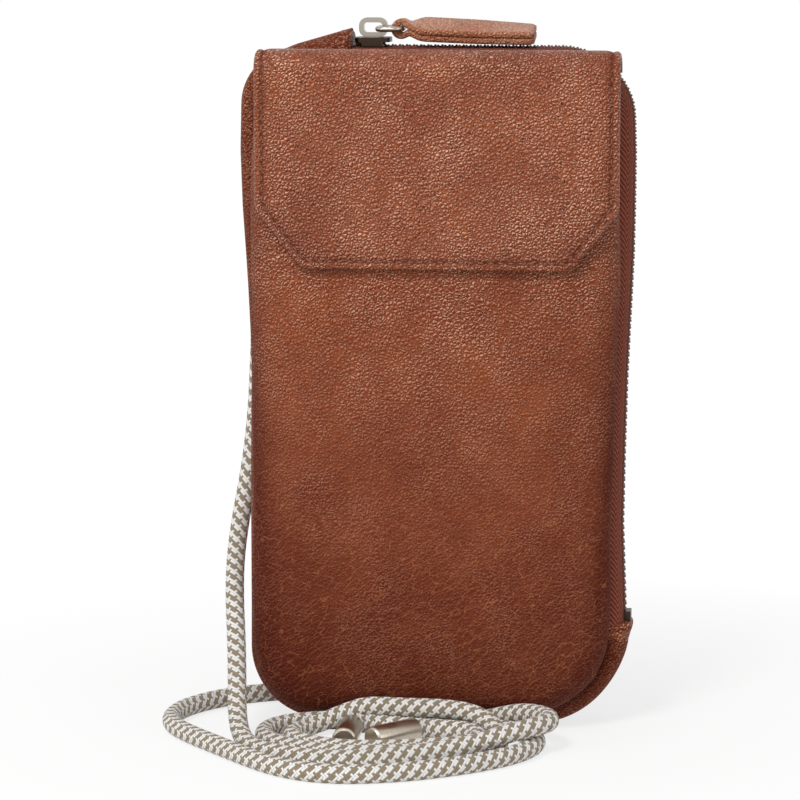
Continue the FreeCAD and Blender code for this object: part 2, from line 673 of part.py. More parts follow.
# Puller: one leather strip folded around the ring's right bar and sewn to itself
puller_half = "(sizes.puller_width / 2)"
neck_half = "(sizes.neck_width / 2)"
bar_hole = "(sizes.ring_wire / 2 + sizes.bar_gap)"
fold_wrap = f"({bar_hole} + sizes.puller_leather)"
widened = "sizes.neck_length + sizes.taper_length"
puller_plan = [
    (f"-{fold_wrap}", f"-{neck_half}"),
    ("sizes.neck_length", f"-{neck_half}"),
    (widened, f"-{puller_half}"),
    ("sizes.puller_length", f"-{puller_half}"),
    ("sizes.puller_length", puller_half),
    (widened, puller_half),
    ("sizes.neck_length", neck_half),
    (f"-{fold_wrap}", neck_half),
]
free_end = [spot for spot, (reach, _) in enumerate(puller_plan) if reach == "sizes.puller_length"]
plan_solid = prism(
    "puller_plan",
    "XY_Plane",
    puller_plan,
    f"-{fold_wrap}",
    f"2 * {fold_wrap}",
    [(free_end, "sizes.puller_corner")],
)
layers = box(
    "puller_layers",
    ("0", "sizes.puller_length"),
    (f"-{puller_half}", puller_half),
    ("-sizes.puller_leather", "sizes.puller_leather"),
)
wrap_base = ("0", f"-{puller_half}", "0")
wrap = cylinder("puller_wrap", ALONG_Y, wrap_base, fold_wrap, "sizes.puller_width")
bar_room = cylinder("bar_room", ALONG_Y, wrap_base, bar_hole, "sizes.puller_width")
strip = cut("puller_strip", fuse("puller_profile", layers, wrap), bar_room)
puller = common("puller", strip, plan_solid)
keep("puller_tab", place(puller, f"{BAR_X} + sizes.ring_length", "0", BAR_Z))

# Cord loops: leather straps sewn across the back, with room for the cord to slide
for side, sign in (("left", "-1"), ("right", "1")):
    middle = f"({sign} * sizes.loop_spacing / 2)"
    across = (f"{middle} - sizes.loop_width / 2", f"{middle} + sizes.loop_width / 2")
    base = (across[0], CORD_Y, "sizes.loop_height")
    arch = cylinder(f"arch_{side}", ALONG_X, base, LOOP_OUTSIDE, "sizes.loop_width")
    tunnel = cylinder(f"tunnel_{side}", ALONG_X, base, LOOP_INSIDE, "sizes.loop_width")
    legs = box(
        f"legs_{side}",
        across,
        (LOOP_FOOT, CORD_Y),
        (f"sizes.loop_height - {LOOP_OUTSIDE}", f"sizes.loop_height + {LOOP_OUTSIDE}"),
    )
    ends = box(
        f"ends_{side}",
        across,
        (LOOP_FOOT, f"{LOOP_FOOT} + sizes.leather"),
        (
            f"sizes.loop_height - {LOOP_OUTSIDE} - sizes.loop_lap",
            f"sizes.loop_height + {LOOP_OUTSIDE} + sizes.loop_lap",
        ),
    )
    under_arch = box(
        f"under_arch_{side}",
        across,
        (BACK_FACE, CORD_Y),
        (f"sizes.loop_height - {LOOP_INSIDE}", f"sizes.loop_height + {LOOP_INSIDE}"),
    )
    behind = box(
        f"behind_{side}",
        across,
        (f"{CORD_Y} - {LOOP_OUTSIDE}", LOOP_FOOT),
        (f"sizes.loop_height - {LOOP_OUTSIDE}", f"sizes.loop_height + {LOOP_OUTSIDE}"),
    )
    strap = fuse(f"strap_{side}", arch, legs, ends)
    keep(f"cord_loop_{side}", cut(f"loop_{side}", strap, tunnel, under_arch, behind))

# Cord between the loops
cord_radius = "(sizes.cord_diameter / 2)"
keep("cord_bridge", cylinder(
    "bridge_run", ALONG_X, (f"-{LOOP_END}", CORD_Y, "sizes.loop_height"), cord_radius, f"2 * {LOOP_END}"
))

# Cord runs from the loops down to the coil: points of the centre line, chosen by hand
LOOP_EXIT = FreeCAD.Vector(number(LOOP_END), number(CORD_Y), number("sizes.loop_height"))
LEFT_ROUTE = (
    (-32.5, 15.3, 150.0),
    (-40.7, 15.3, 146.3),
    (-46.6, 15.2, 138.8),
    (-49.4, 15.1, 128.5),
    (-50.4, 14.9, 113.0),
    (-50.8, 14.2, 97.0),
    (-51.5, 12.9, 80.0),
    (-53.1, 10.0, 65.0),
    (-55.0, 6.0, 53.0),
    (-55.6, 0.0, 42.4),
    (-54.4, -9.0, 33.2),
    (-52.5, -18.0, 24.1),
    (-50.9, -27.5, 14.6),
    (-49.6, -36.0, 7.6),
    (-47.4, -43.6, 4.0),
    (-43.8, -49.6, 2.7),
    (-38.4, -54.6, 2.55),
)
RIGHT_ROUTE = (
    (31.5, 15.3, 150.0),
    (39.4, 15.4, 146.8),
    (45.0, 15.6, 139.9),
    (46.9, 16.0, 129.0),
    (45.6, 16.8, 113.0),
    (42.6, 17.8, 97.0),
    (38.8, 18.8, 81.0),
    (34.0, 19.9, 65.0),
    (28.4, 20.9, 50.0),
    (21.6, 21.7, 36.0),
    (13.0, 22.2, 24.0),
    (2.5, 22.2, 14.6),
    (-9.5, 21.6, 8.2),
    (-22.0, 20.4, 4.6),
    (-34.5, 18.2, 3.0),
    (-45.0, 15.0, 2.6),
    (-53.6, 10.8, 2.55),
    (-60.4, 5.0, 2.6),
    (-65.8, -2.2, 2.55),
    (-69.4, -10.6, 2.6),
    (-70.4, -19.8, 2.55),
    (-68.0, -28.6, 2.6),
    (-62.8, -36.4, 2.55),
    (-57.0, -43.8, 2.6),
    (-50.4, -51.6, 2.55),
    (-43.8, -59.8, 2.6),
    (-37.4, -66.6, 2.55),
)
RUN_SHARE = 0.45
PIPE_TOLERANCE_SHARE = 0.01


def cord_tube(name, points):
    """A round tube along straight runs joined by the largest tangent arcs that they allow."""
    edges = []
    radii = []
    start = points[0]
    for before, here, after in zip(points, points[1:], points[2:]):
        incoming = (here - before).normalize()
        outgoing = (after - here).normalize()
        turn = incoming.getAngle(outgoing)
        reach = RUN_SHARE * min((here - before).Length, (after - here).Length)
        radii.append(reach / math.tan(turn / 2))
        inward = (outgoing - incoming).normalize()
        enter = here - incoming * reach
        leave = here + outgoing * reach
        centre_gap = radii[-1] / math.cos(turn / 2)
        middle = here + inward * (centre_gap - radii[-1])
        edges.append(Part.LineSegment(start, enter).toShape())
        edges.append(Part.Arc(enter, middle, leave).toShape())
        start = leave
    edges.append(Part.LineSegment(start, points[-1]).toShape())
    path = Part.Wire(edges)
    radius = number(cord_radius)
    section = Part.Wire(Part.makeCircle(radius, points[0], points[1] - points[0]))
    tube = doc.addObject("Part::Feature", name)
    tube.Shape = path.makePipeShell([section], True, False)
    tube.Placement = FreeCAD.Placement()
    expected = math.pi * radius**2 * path.Length
    if abs(tube.Shape.Volume - expected) > PIPE_TOLERANCE_SHARE * expected:
        raise ValueError(f"{name}: volume {tube.Shape.Volume:.1f}, expected {expected:.1f}")
    print(name, "length", round(path.Length, 1), "radii", [round(value, 1) for value in radii])
    return tube


left_exit = FreeCAD.Vector(-LOOP_EXIT.x, LOOP_EXIT.y, LOOP_EXIT.z)
for name, start, route in (
    ("cord_left", left_exit, LEFT_ROUTE),
    ("cord_right", LOOP_EXIT, RIGHT_ROUTE),
):
    keep(name, cord_tube(name + "_run", [start] + [FreeCAD.Vector(*point) for point in route]))

# Coil: the outer shape of the loose turns on the floor, open in the middle
hank_outline = rectangle("sizes.hank_left", "sizes.hank_right", "sizes.hank_front", "sizes.hank_back")
hank = prism(
    "hank",
    "XY_Plane",
    hank_outline,
    "0",
    "sizes.hank_thickness",
    alike(hank_outline, "sizes.hank_corner"),
)
round_rims(hank, "z", ("0", "sizes.hank_thickness"), "sizes.hank_edge")
middle_outline = rectangle("sizes.eye_left", "sizes.eye_right", "sizes.eye_front", "sizes.eye_back")
eye = prism(
    "hank_eye",
    "XY_Plane",
    middle_outline,
    "-sizes.overrun",
    "sizes.hank_thickness + 2 * sizes.overrun",
    alike(middle_outline, "sizes.eye_corner"),
)
keep("cord_coil", cut("coil_ring", hank, eye))

# End caps: metal tubes closed at one end, with the cord's last stretch in each bore.
# Shares of the coil's open middle, from its left and back edges, place each cap's open end.
CAP_SHARES = (
    ("left", 0.174, 0.015, 90.0),
    ("right", 0.618, 0.112, 49.7),
)
EYE_WIDTH = "(sizes.eye_right - sizes.eye_left)"
EYE_DEPTH = "(sizes.eye_back - sizes.eye_front)"
IN_BORE = "(sizes.cap_bore - sizes.cap_gap)"
for side, across_share, along_share, heading in CAP_SHARES:
    turn = FreeCAD.Rotation(FreeCAD.Vector(0, 0, 1), heading - HALF_TURN)
    open_end = (
        f"sizes.eye_left + {across_share} * {EYE_WIDTH}",
        f"sizes.eye_back - {along_share} * {EYE_DEPTH}",
        "sizes.cap_diameter / 2",
    )
    body = doc.addObject("PartDesign::Body", f"cap_{side}")
    sketch = body.newObject("Sketcher::SketchObject", f"cap_{side}_circle")
    attach(sketch, body, "YZ_Plane", "0")
    draw_circle(sketch, "0", "0", "sizes.cap_diameter / 2")
    pad = body.newObject("PartDesign::Pad", f"cap_{side}_pad")
    pad.Profile = sketch
    pad.setExpression("Length", "sizes.cap_length")
    doc.recompute()
    round_rims(body, "x", ("sizes.cap_length",), "sizes.cap_edge")
    bore = body.newObject("Sketcher::SketchObject", f"cap_{side}_bore")
    attach(bore, body, "YZ_Plane", "sizes.cap_bore")
    draw_circle(bore, "0", "0", f"{cord_radius} + sizes.cap_gap")
    pocket = body.newObject("PartDesign::Pocket", f"cap_{side}_pocket")
    pocket.Profile = bore
    pocket.setExpression("Length", "sizes.cap_bore")
    body.Placement = FreeCAD.Placement(FreeCAD.Vector(), turn)
    keep(f"cord_cap_{side}", place(body, *open_end))
    reach = f"({along_share} * {EYE_DEPTH} / sin({heading} deg) + sizes.tail_sink)"
    tail_start = (
        f"{open_end[0]} - {IN_BORE} * cos({heading} deg)",
        f"{open_end[1]} - {IN_BORE} * sin({heading} deg)",
        open_end[2],
    )
    tail = cylinder(f"tail_{side}", turn * BACKWARD, tail_start, cord_radius, f"{IN_BORE} + {reach}")
    keep(f"cord_tail_{side}", tail)

# Check every object and write one file for each sub-part
doc.recompute()
failed = [item.Name for item in doc.Objects if {"Invalid", "Error"} & set(item.State)]
if failed:
    raise RuntimeError(f"failed objects: {failed}")
for name, item in nodes.items():
    shape = item.Shape
    if shape.isNull() or not shape.isValid() or len(shape.Solids) != 1:
        raise RuntimeError(f"{name}: not one valid solid")
os.makedirs("parts", exist_ok=True)
for name, item in nodes.items():
    item.Shape.exportStep(os.path.join("parts", name + ".step"))
print(len(nodes), "sub-parts written")
print("flap hinge y, z:", number(FOLD_Y), number(FLAP_TOP))
print("ring hinge x, z:", number(BAR_X), number(BAR_Z))
print("slider travel:", number(f"{HALF_WIDTH} - sizes.top_right_round - {slider_right}"))
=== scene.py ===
# %% [markdown]
# # A leather phone pouch on its carrying cord
# The imported model holds 36 solids of a crossbody phone pouch: a stiff flap, a padded pocket, a zip
# along the top and one side, and a braided cord lying in a loose coil. The solids are right in
# place and size, but soft things are not blocks, so most of them get a skin here that is modelled
# as the maker would sew it. The frame is loaded first.

# %% Load the frame
import math

import bmesh
import bpy
import numpy as np
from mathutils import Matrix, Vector


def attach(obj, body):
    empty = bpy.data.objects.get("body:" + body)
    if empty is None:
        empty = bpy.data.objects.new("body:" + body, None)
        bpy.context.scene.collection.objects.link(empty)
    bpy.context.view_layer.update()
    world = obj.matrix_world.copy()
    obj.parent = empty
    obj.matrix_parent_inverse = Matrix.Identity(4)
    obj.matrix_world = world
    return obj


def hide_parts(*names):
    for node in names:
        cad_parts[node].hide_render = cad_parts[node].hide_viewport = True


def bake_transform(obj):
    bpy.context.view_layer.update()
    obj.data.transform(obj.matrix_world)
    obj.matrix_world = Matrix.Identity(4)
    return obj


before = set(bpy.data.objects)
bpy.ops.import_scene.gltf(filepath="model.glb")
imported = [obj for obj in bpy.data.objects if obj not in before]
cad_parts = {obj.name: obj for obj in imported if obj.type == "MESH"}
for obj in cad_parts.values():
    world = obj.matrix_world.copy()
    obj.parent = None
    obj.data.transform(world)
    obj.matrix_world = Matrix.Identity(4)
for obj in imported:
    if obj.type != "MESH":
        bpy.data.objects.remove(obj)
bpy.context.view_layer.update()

MM = 0.001
scene = bpy.context.scene

# %% [markdown]
# The camera stands one metre away, a little to the right and a little above the pouch, with a long
# lens. A long lens keeps upright edges parallel, as in a product picture. The focal length is
# known in pixels of an 800 pixel image and is turned into millimetres for the sensor.

# %% Camera
TARGET = Vector((-10.30, 0.24, 87.38)) * MM
AZIMUTH = math.radians(6.5)
ELEVATION = math.radians(8.5)
DISTANCE = 1.0
FOCAL_PIXELS = 3700.9
IMAGE_PIXELS = 800
SENSOR_WIDTH = 36.0

camera_data = bpy.data.cameras.new("camera")
camera_data.sensor_width = SENSOR_WIDTH
camera_data.lens = FOCAL_PIXELS / IMAGE_PIXELS * SENSOR_WIDTH
camera = bpy.data.objects.new("camera", camera_data)
away = Vector((
    math.sin(AZIMUTH) * math.cos(ELEVATION),
    -math.cos(AZIMUTH) * math.cos(ELEVATION),
    math.sin(ELEVATION),
))
camera.location = TARGET + DISTANCE * away
camera.rotation_euler = (-away).to_track_quat("-Z", "Y").to_euler()
scene.collection.objects.link(camera)
scene.camera = camera
scene.view_settings.view_transform = "Standard"
print("lens in mm:", round(camera_data.lens, 1))

# %% [markdown]
# Every finish below is a node tree. One small function adds a node, sets its options and joins its
# inputs, so a tree reads from top to bottom like a recipe. Colours are written as the hex values
# that a screen shows, and one function turns them into the linear light that shaders work in.

# %% Helpers for the finishes
def linear(code):
    """Linear RGBA from an sRGB hex value such as 8c523e."""
    shown = [int(code[start:start + 2], 16) / 255 for start in (0, 2, 4)]
    light = [part / 12.92 if part <= 0.04045 else ((part + 0.055) / 1.055) ** 2.4 for part in shown]
    return (*light, 1.0)


def add(tree, kind, links=None, **settings):
    """Add a node; links maps an input's name or number to a socket to join or to a value."""
    made = tree.nodes.new(kind)
    for option, value in settings.items():
        setattr(made, option, value)
    for key, source in (links or {}).items():
        if isinstance(source, bpy.types.NodeSocket):
            tree.links.new(source, made.inputs[key])
        else:
            made.inputs[key].default_value = source
    return made


def start_finish(name):
    """A new material with an empty node tree."""
    finish = bpy.data.materials.new(name)
    finish.use_nodes = True
    finish.node_tree.nodes.clear()
    return finish, finish.node_tree


print("mid grey in linear light:", round(linear("808080")[0], 3))

# %% [markdown]
# The pouch stands on a pale paper sweep. Paper is a plain diffuse surface; for the eye of the camera
# most of it is replaced by even white, near the pouch in part and further off wholly. So the page is
# white, no horizon shows, and a soft shadow is still left under the pouch.

# %% Paper floor
NEAR_POUCH, FAR_OFF = 0.06, 0.24
WHITE_NEAR_POUCH = 0.74


def seen_by_eye(tree):
    """1 for what the camera sees straight, mirrored or through glass, and 0 for light that is only scattered."""
    path = add(tree, "ShaderNodeLightPath")
    glossy = add(tree, "ShaderNodeMath", {0: path.outputs["Is Camera Ray"], 1: path.outputs["Is Glossy Ray"]},
                 operation="MAXIMUM")
    seen = add(tree, "ShaderNodeMath", {0: glossy.outputs[0], 1: path.outputs["Is Transmission Ray"]},
               operation="MAXIMUM")
    return seen.outputs[0]


paper, tree = start_finish("white_paper_sweep")
here = add(tree, "ShaderNodeNewGeometry")
away_from_pouch = add(tree, "ShaderNodeVectorMath", {0: here.outputs["Position"]}, operation="LENGTH")
white = add(tree, "ShaderNodeMapRange", {0: away_from_pouch.outputs["Value"], 1: NEAR_POUCH, 2: FAR_OFF,
                                         3: WHITE_NEAR_POUCH, 4: 1.0})
share = add(tree, "ShaderNodeMath", {0: seen_by_eye(tree), 1: white.outputs[0]}, operation="MULTIPLY")
# Matt paper: even and pale from every side.
sheet_paper = add(tree, "ShaderNodeBsdfDiffuse", {"Color": linear("f4f3f1")})
page = add(tree, "ShaderNodeEmission", {"Color": (1, 1, 1, 1), "Strength": 1.02})
both = add(tree, "ShaderNodeMixShader", {0: share.outputs[0], 1: sheet_paper.outputs[0], 2: page.outputs[0]})
add(tree, "ShaderNodeOutputMaterial", {"Surface": both.outputs[0]})

FLOOR_HALF = 3.0
floor_mesh = bpy.data.meshes.new("paper_floor")
floor_corners = [(-FLOOR_HALF, -FLOOR_HALF, 0), (FLOOR_HALF, -FLOOR_HALF, 0),
                 (FLOOR_HALF, FLOOR_HALF, 0), (-FLOOR_HALF, FLOOR_HALF, 0)]
floor_mesh.from_pydata(floor_corners, [], [(0, 1, 2, 3)])
floor_mesh.materials.append(paper)
paper_floor = bpy.data.objects.new("paper_floor", floor_mesh)
scene.collection.objects.link(paper_floor)
print("floor width in m:", 2 * FLOOR_HALF)

# %% [markdown]
# The light is that of a small studio: one soft box above and in front, weaker ones on both sides,
# and a pale room all round. Wide lamps give soft highlights on satin leather and long clean ones
# on metal. The room shows as even white to the camera and in reflections.

# %% Studio light
world = bpy.data.worlds.new("pale_studio")
world.use_nodes = True
tree = world.node_tree
tree.nodes.clear()
room = add(tree, "ShaderNodeBackground", {"Color": linear("f6f7fa"), "Strength": 0.5})
backdrop = add(tree, "ShaderNodeBackground", {"Color": (1, 1, 1, 1), "Strength": 1.0})
both = add(tree, "ShaderNodeMixShader", {0: seen_by_eye(tree), 1: room.outputs[0], 2: backdrop.outputs[0]})
add(tree, "ShaderNodeOutputWorld", {"Surface": both.outputs[0]})
scene.world = world

SOFT_BOXES = (
    # name, place in m, width in m, power in W
    ("soft_box_above", (-0.3, -0.85, 0.95), 0.3, 8.0),
    ("soft_box_right", (1.1, -0.7, 0.5), 0.5, 2.0),
    ("soft_box_left", (-0.8, -0.85, 0.45), 0.25, 2.0),
)
for name, place, width, power in SOFT_BOXES:
    lamp = bpy.data.lights.new(name, "AREA")
    lamp.size = width
    lamp.energy = power
    lamp_object = bpy.data.objects.new(name, lamp)
    lamp_object.location = place
    lamp_object.rotation_euler = (TARGET - Vector(place)).to_track_quat("-Z", "Y").to_euler()
    scene.collection.objects.link(lamp_object)
print("lamps:", len(SOFT_BOXES))

# %% [markdown]
# The carrying cord is a soft round braid, five millimetres thick, of pale and taupe cotton yarns.
# Sixteen yarns run each way round, over two and under two, and they are coloured two pale and two
# taupe, which is the weave that gives a houndstooth check. The shader works that weave out from
# two coordinates on the tube: turns around it and lengths of one check along it.

# %% Braided cotton
CHECK_LENGTH = 3.5
YARNS_PER_CHECK = 4
CHECKS_AROUND = 4
FIRST_TWO = 1.5
YARN_RELIEF = 0.35

braid, tree = start_finish("braided_cotton_houndstooth")
spot = add(tree, "ShaderNodeUVMap", uv_map="braid")
parts = add(tree, "ShaderNodeSeparateXYZ", {0: spot.outputs[0]})
around = add(tree, "ShaderNodeMath", {0: parts.outputs[0], 1: CHECKS_AROUND}, operation="MULTIPLY")
rising = add(tree, "ShaderNodeMath", {0: parts.outputs[1], 1: around.outputs[0]}, operation="ADD")
falling = add(tree, "ShaderNodeMath", {0: parts.outputs[1], 1: around.outputs[0]}, operation="SUBTRACT")
yarns = {}
for way, phase in (("rising", rising), ("falling", falling)):
    scaled = add(tree, "ShaderNodeMath", {0: phase.outputs[0], 1: YARNS_PER_CHECK}, operation="MULTIPLY")
    count = add(tree, "ShaderNodeMath", {0: scaled.outputs[0]}, operation="FLOOR")
    turn = add(tree, "ShaderNodeMath", {0: count.outputs[0], 1: YARNS_PER_CHECK}, operation="FLOORED_MODULO")
    taupe = add(tree, "ShaderNodeMath", {0: turn.outputs[0], 1: FIRST_TWO}, operation="LESS_THAN")
    across = add(tree, "ShaderNodeMath", {0: scaled.outputs[0]}, operation="FRACT")
    yarns[way] = (count, taupe, across)
apart = add(tree, "ShaderNodeMath", {0: yarns["rising"][0].outputs[0], 1: yarns["falling"][0].outputs[0]},
            operation="SUBTRACT")
step = add(tree, "ShaderNodeMath", {0: apart.outputs[0], 1: YARNS_PER_CHECK}, operation="FLOORED_MODULO")
over = add(tree, "ShaderNodeMath", {0: step.outputs[0], 1: FIRST_TWO}, operation="LESS_THAN")
is_taupe = add(tree, "ShaderNodeMix", {0: over.outputs[0], 2: yarns["falling"][1].outputs[0],
                                       3: yarns["rising"][1].outputs[0]})
width_spot = add(tree, "ShaderNodeMix", {0: over.outputs[0], 2: yarns["falling"][2].outputs[0],
                                         3: yarns["rising"][2].outputs[0]})
off_middle = add(tree, "ShaderNodeMath", {0: width_spot.outputs[0], 1: 0.5}, operation="SUBTRACT")
squared = add(tree, "ShaderNodeMath", {0: off_middle.outputs[0], 1: off_middle.outputs[0]}, operation="MULTIPLY")
crown = add(tree, "ShaderNodeMath", {0: squared.outputs[0], 1: -3.6, 2: 1.0}, operation="MULTIPLY_ADD")
# Single fibres are too fine to show; they only keep a yarn from being one flat colour.
fuzz = add(tree, "ShaderNodeTexNoise", {"Scale": 2200.0, "Detail": 2.0})
pale = add(tree, "ShaderNodeMix", {0: fuzz.outputs[0], 6: linear("f4f1ec"), 7: linear("fefdfb")}, data_type="RGBA")
dull = add(tree, "ShaderNodeMix", {0: fuzz.outputs[0], 6: linear("81725a"), 7: linear("ab9a7e")}, data_type="RGBA")
yarn_tone = add(tree, "ShaderNodeMix", {0: is_taupe.outputs[0], 6: pale.outputs[2], 7: dull.outputs[2]},
                data_type="RGBA")
valley = add(tree, "ShaderNodeMapRange", {0: crown.outputs[0], 1: 0.1, 2: 0.75, 3: 0.78, 4: 1.0})
shaded = add(tree, "ShaderNodeMix", {0: 1.0, 6: yarn_tone.outputs[2], 7: valley.outputs[0]},
             data_type="RGBA", blend_type="MULTIPLY")
relief = add(tree, "ShaderNodeBump", {"Strength": 0.85, "Distance": YARN_RELIEF * MM, "Height": crown.outputs[0]})
# Cotton yarn scatters light evenly and has a faint bloom at grazing angles.
cotton = add(tree, "ShaderNodeBsdfPrincipled", {
    "Base Color": shaded.outputs[2], "Roughness": 0.85, "IOR": 1.5, "Sheen Weight": 0.15,
    "Sheen Roughness": 0.5, "Normal": relief.outputs[0],
})
add(tree, "ShaderNodeOutputMaterial", {"Surface": cotton.outputs[0]})
print("yarns each way:", YARNS_PER_CHECK * CHECKS_AROUND, "check in mm:", CHECK_LENGTH)

# %% [markdown]
# A cord is a length of something limp, so its line is drawn as one smooth spline through listed
# points, and the tube follows that line. The points are those of the solid tubes, from the leather
# loops behind the pouch down to the floor, and then the turns of the coil that the solid ring
# stands for. A NURBS curve of order three stays inside its points, so it never overshoots.

# %% The line of a cord
SPLINE_STEPS = 14


def spline_line(name, points):
    """Points read along a NURBS spline whose control points are given in mm."""
    curve = bpy.data.curves.new(name, "CURVE")
    curve.dimensions = "3D"
    curve.resolution_u = SPLINE_STEPS
    spline = curve.splines.new("NURBS")
    spline.points.add(len(points) - 1)
    for control, point in zip(spline.points, points):
        control.co = (*[value * MM for value in point], 1.0)
    spline.order_u = 3
    spline.use_endpoint_u = True
    holder = bpy.data.objects.new(name, curve)
    scene.collection.objects.link(holder)
    bpy.context.view_layer.update()
    line = bpy.data.meshes.new_from_object(holder)
    spots = [vertex.co.copy() for vertex in line.vertices]
    bpy.data.objects.remove(holder)
    bpy.data.curves.remove(curve)
    bpy.data.meshes.remove(line)
    return spots


CORD_LEFT_POINTS = [
    (-20, 15.3, 150), (-25, 15.3, 150), (-32.5, 15.3, 150), (-40.7, 15.3, 146.3), (-46.6, 15.2, 138.8),
    (-49.4, 15.1, 128.5), (-50.4, 14.9, 113), (-50.8, 14.2, 97), (-51.5, 12.9, 80), (-53.1, 10, 65),
    (-55, 6, 53), (-55.6, 0, 42.4), (-54.4, -9, 33.2), (-52.5, -18, 24.1), (-50.9, -27.5, 14.6),
    (-49.6, -36, 7.6), (-47.4, -43.6, 4), (-43.8, -49.6, 2.7), (-38.4, -54.6, 2.55),
    # along the front of the coil, and up over its right end
    (-32.4, -57.6, 2.5), (-25.5, -60.2, 2.5), (-17.5, -60.4, 2.5), (-9.5, -58.6, 2.6), (-1.5, -56, 3.1),
    (6.5, -53.6, 3.9), (14, -51.2, 5), (21, -47.8, 6.7), (27.5, -43.4, 7.8), (32.4, -38.4, 7.9),
    (33.6, -32.4, 7.9), (30.4, -26.4, 7.8), (24.8, -21, 7), (18, -17.3, 4.7), (10.8, -16.6, 2.7),
    # along the back on the floor, and round the outer left loop
    (3, -16.5, 2.5), (-6, -16.5, 2.5), (-15, -16.5, 2.5), (-23.5, -16.6, 2.5), (-31, -18, 2.5),
    (-37.4, -21.4, 2.5), (-41.8, -27, 2.5), (-43, -34.2, 2.5), (-40.8, -41.2, 2.5), (-35.8, -46.8, 2.5),
    (-29.2, -51.2, 2.5), (-21.6, -54.2, 2.5), (-13.4, -54.2, 2.5), (-5.4, -52.2, 2.5), (2.4, -50, 2.5),
    (10, -48, 2.5), (16.6, -44.4, 2.5), (20.4, -38.8, 2.6), (20.2, -32.4, 3.2), (17.2, -27.4, 5.2),
    # over the strands at the back, and round the inner left loop
    (12.2, -24.2, 7.1), (6.4, -22.4, 7.6), (0, -21.4, 7.6), (-6, -20.6, 7.4), (-12, -20, 7.4),
    (-17.5, -19.9, 7.3), (-22.6, -20.9, 5.6), (-27.4, -23, 3.8), (-31.8, -26.4, 2.7), (-34.8, -31.4, 2.5),
    (-35, -37.4, 2.5), (-31.6, -42.6, 2.5), (-26.2, -46.4, 2.5), (-19.4, -48.8, 2.5), (-12, -48.8, 2.5),
    # along the inside of the coil, and round into the right cap
    (-4.6, -46.8, 2.5), (2.6, -44.6, 2.5), (9.2, -42.6, 2.5), (14, -38.4, 2.6), (14.8, -32.8, 3),
    (11, -28.4, 3.25), (5, -26.6, 3.25), (-0.2, -26.6, 3.25), (-4, -29.6, 3.25), (-8.4, -34.8, 3.25),
]
CORD_RIGHT_POINTS = [
    (20, 15.3, 150), (25, 15.3, 150), (31.5, 15.3, 150), (39.4, 15.4, 146.8), (45, 15.6, 139.9),
    (46.9, 16, 129), (45.6, 16.8, 113), (42.6, 17.8, 97), (38.8, 18.8, 81), (34, 19.9, 65),
    (28.4, 20.9, 50), (21.6, 21.7, 36), (13, 22.2, 24), (2.5, 22.2, 14.6), (-9.5, 21.6, 8.2),
    (-22, 20.4, 4.6), (-34.5, 18.2, 3), (-45, 15, 2.6), (-53.6, 10.8, 2.55), (-60.4, 5, 2.6),
    (-65.8, -2.2, 2.55), (-69.4, -10.6, 2.6), (-70.4, -19.8, 2.55), (-68, -28.6, 2.6), (-62.8, -36.4, 2.55),
    (-57, -43.8, 2.6), (-50.4, -51.6, 2.55), (-43.8, -59.8, 2.6), (-37.4, -66.6, 2.55),
    # the frontmost strand, the right end below the other cord, and back into the left cap
    (-31.6, -71.2, 2.5), (-24.6, -74.6, 2.5), (-16.4, -75.6, 2.5), (-8, -73.8, 2.5), (0.2, -70.6, 2.5),
    (8.4, -65.8, 2.5), (16, -60, 2.5), (22.8, -53.4, 2.5), (27.8, -45.8, 2.5), (30.2, -37.8, 2.5),
    (29, -30.2, 2.5), (24.8, -24.6, 2.5), (18.6, -21.8, 2.5), (11.6, -21.5, 2.5), (4.4, -21.5, 2.5),
    (-2.6, -21.5, 2.5), (-8.8, -21.2, 2.6), (-14.4, -21, 2.8), (-18.8, -22.8, 3.1), (-20.6, -27.2, 3.25),
    (-20.3, -31.6, 3.25), (-20.3, -36, 3.25),
]
CORD_BETWEEN_POINTS = [(-20, 15.3, 150), (0, 15.3, 150), (20, 15.3, 150)]
print("points set by hand:", len(CORD_LEFT_POINTS) + len(CORD_RIGHT_POINTS) + len(CORD_BETWEEN_POINTS))

# %% [markdown]
# A tube is a row of rings along the line. The rings must not spin about it, or the braid would
# look wrung, so each ring's sideways direction is carried on from the one before. The braid's
# coordinates go into a UV map: one turn around is 1, and one check along is 1.

# %% Tubes along a line
def link_piece(name, mesh, finish):
    """An object for a finished mesh, with smooth faces and one finish."""
    mesh.polygons.foreach_set("use_smooth", [True] * len(mesh.polygons))
    mesh.materials.append(finish)
    piece = bpy.data.objects.new(name, mesh)
    scene.collection.objects.link(piece)
    return piece


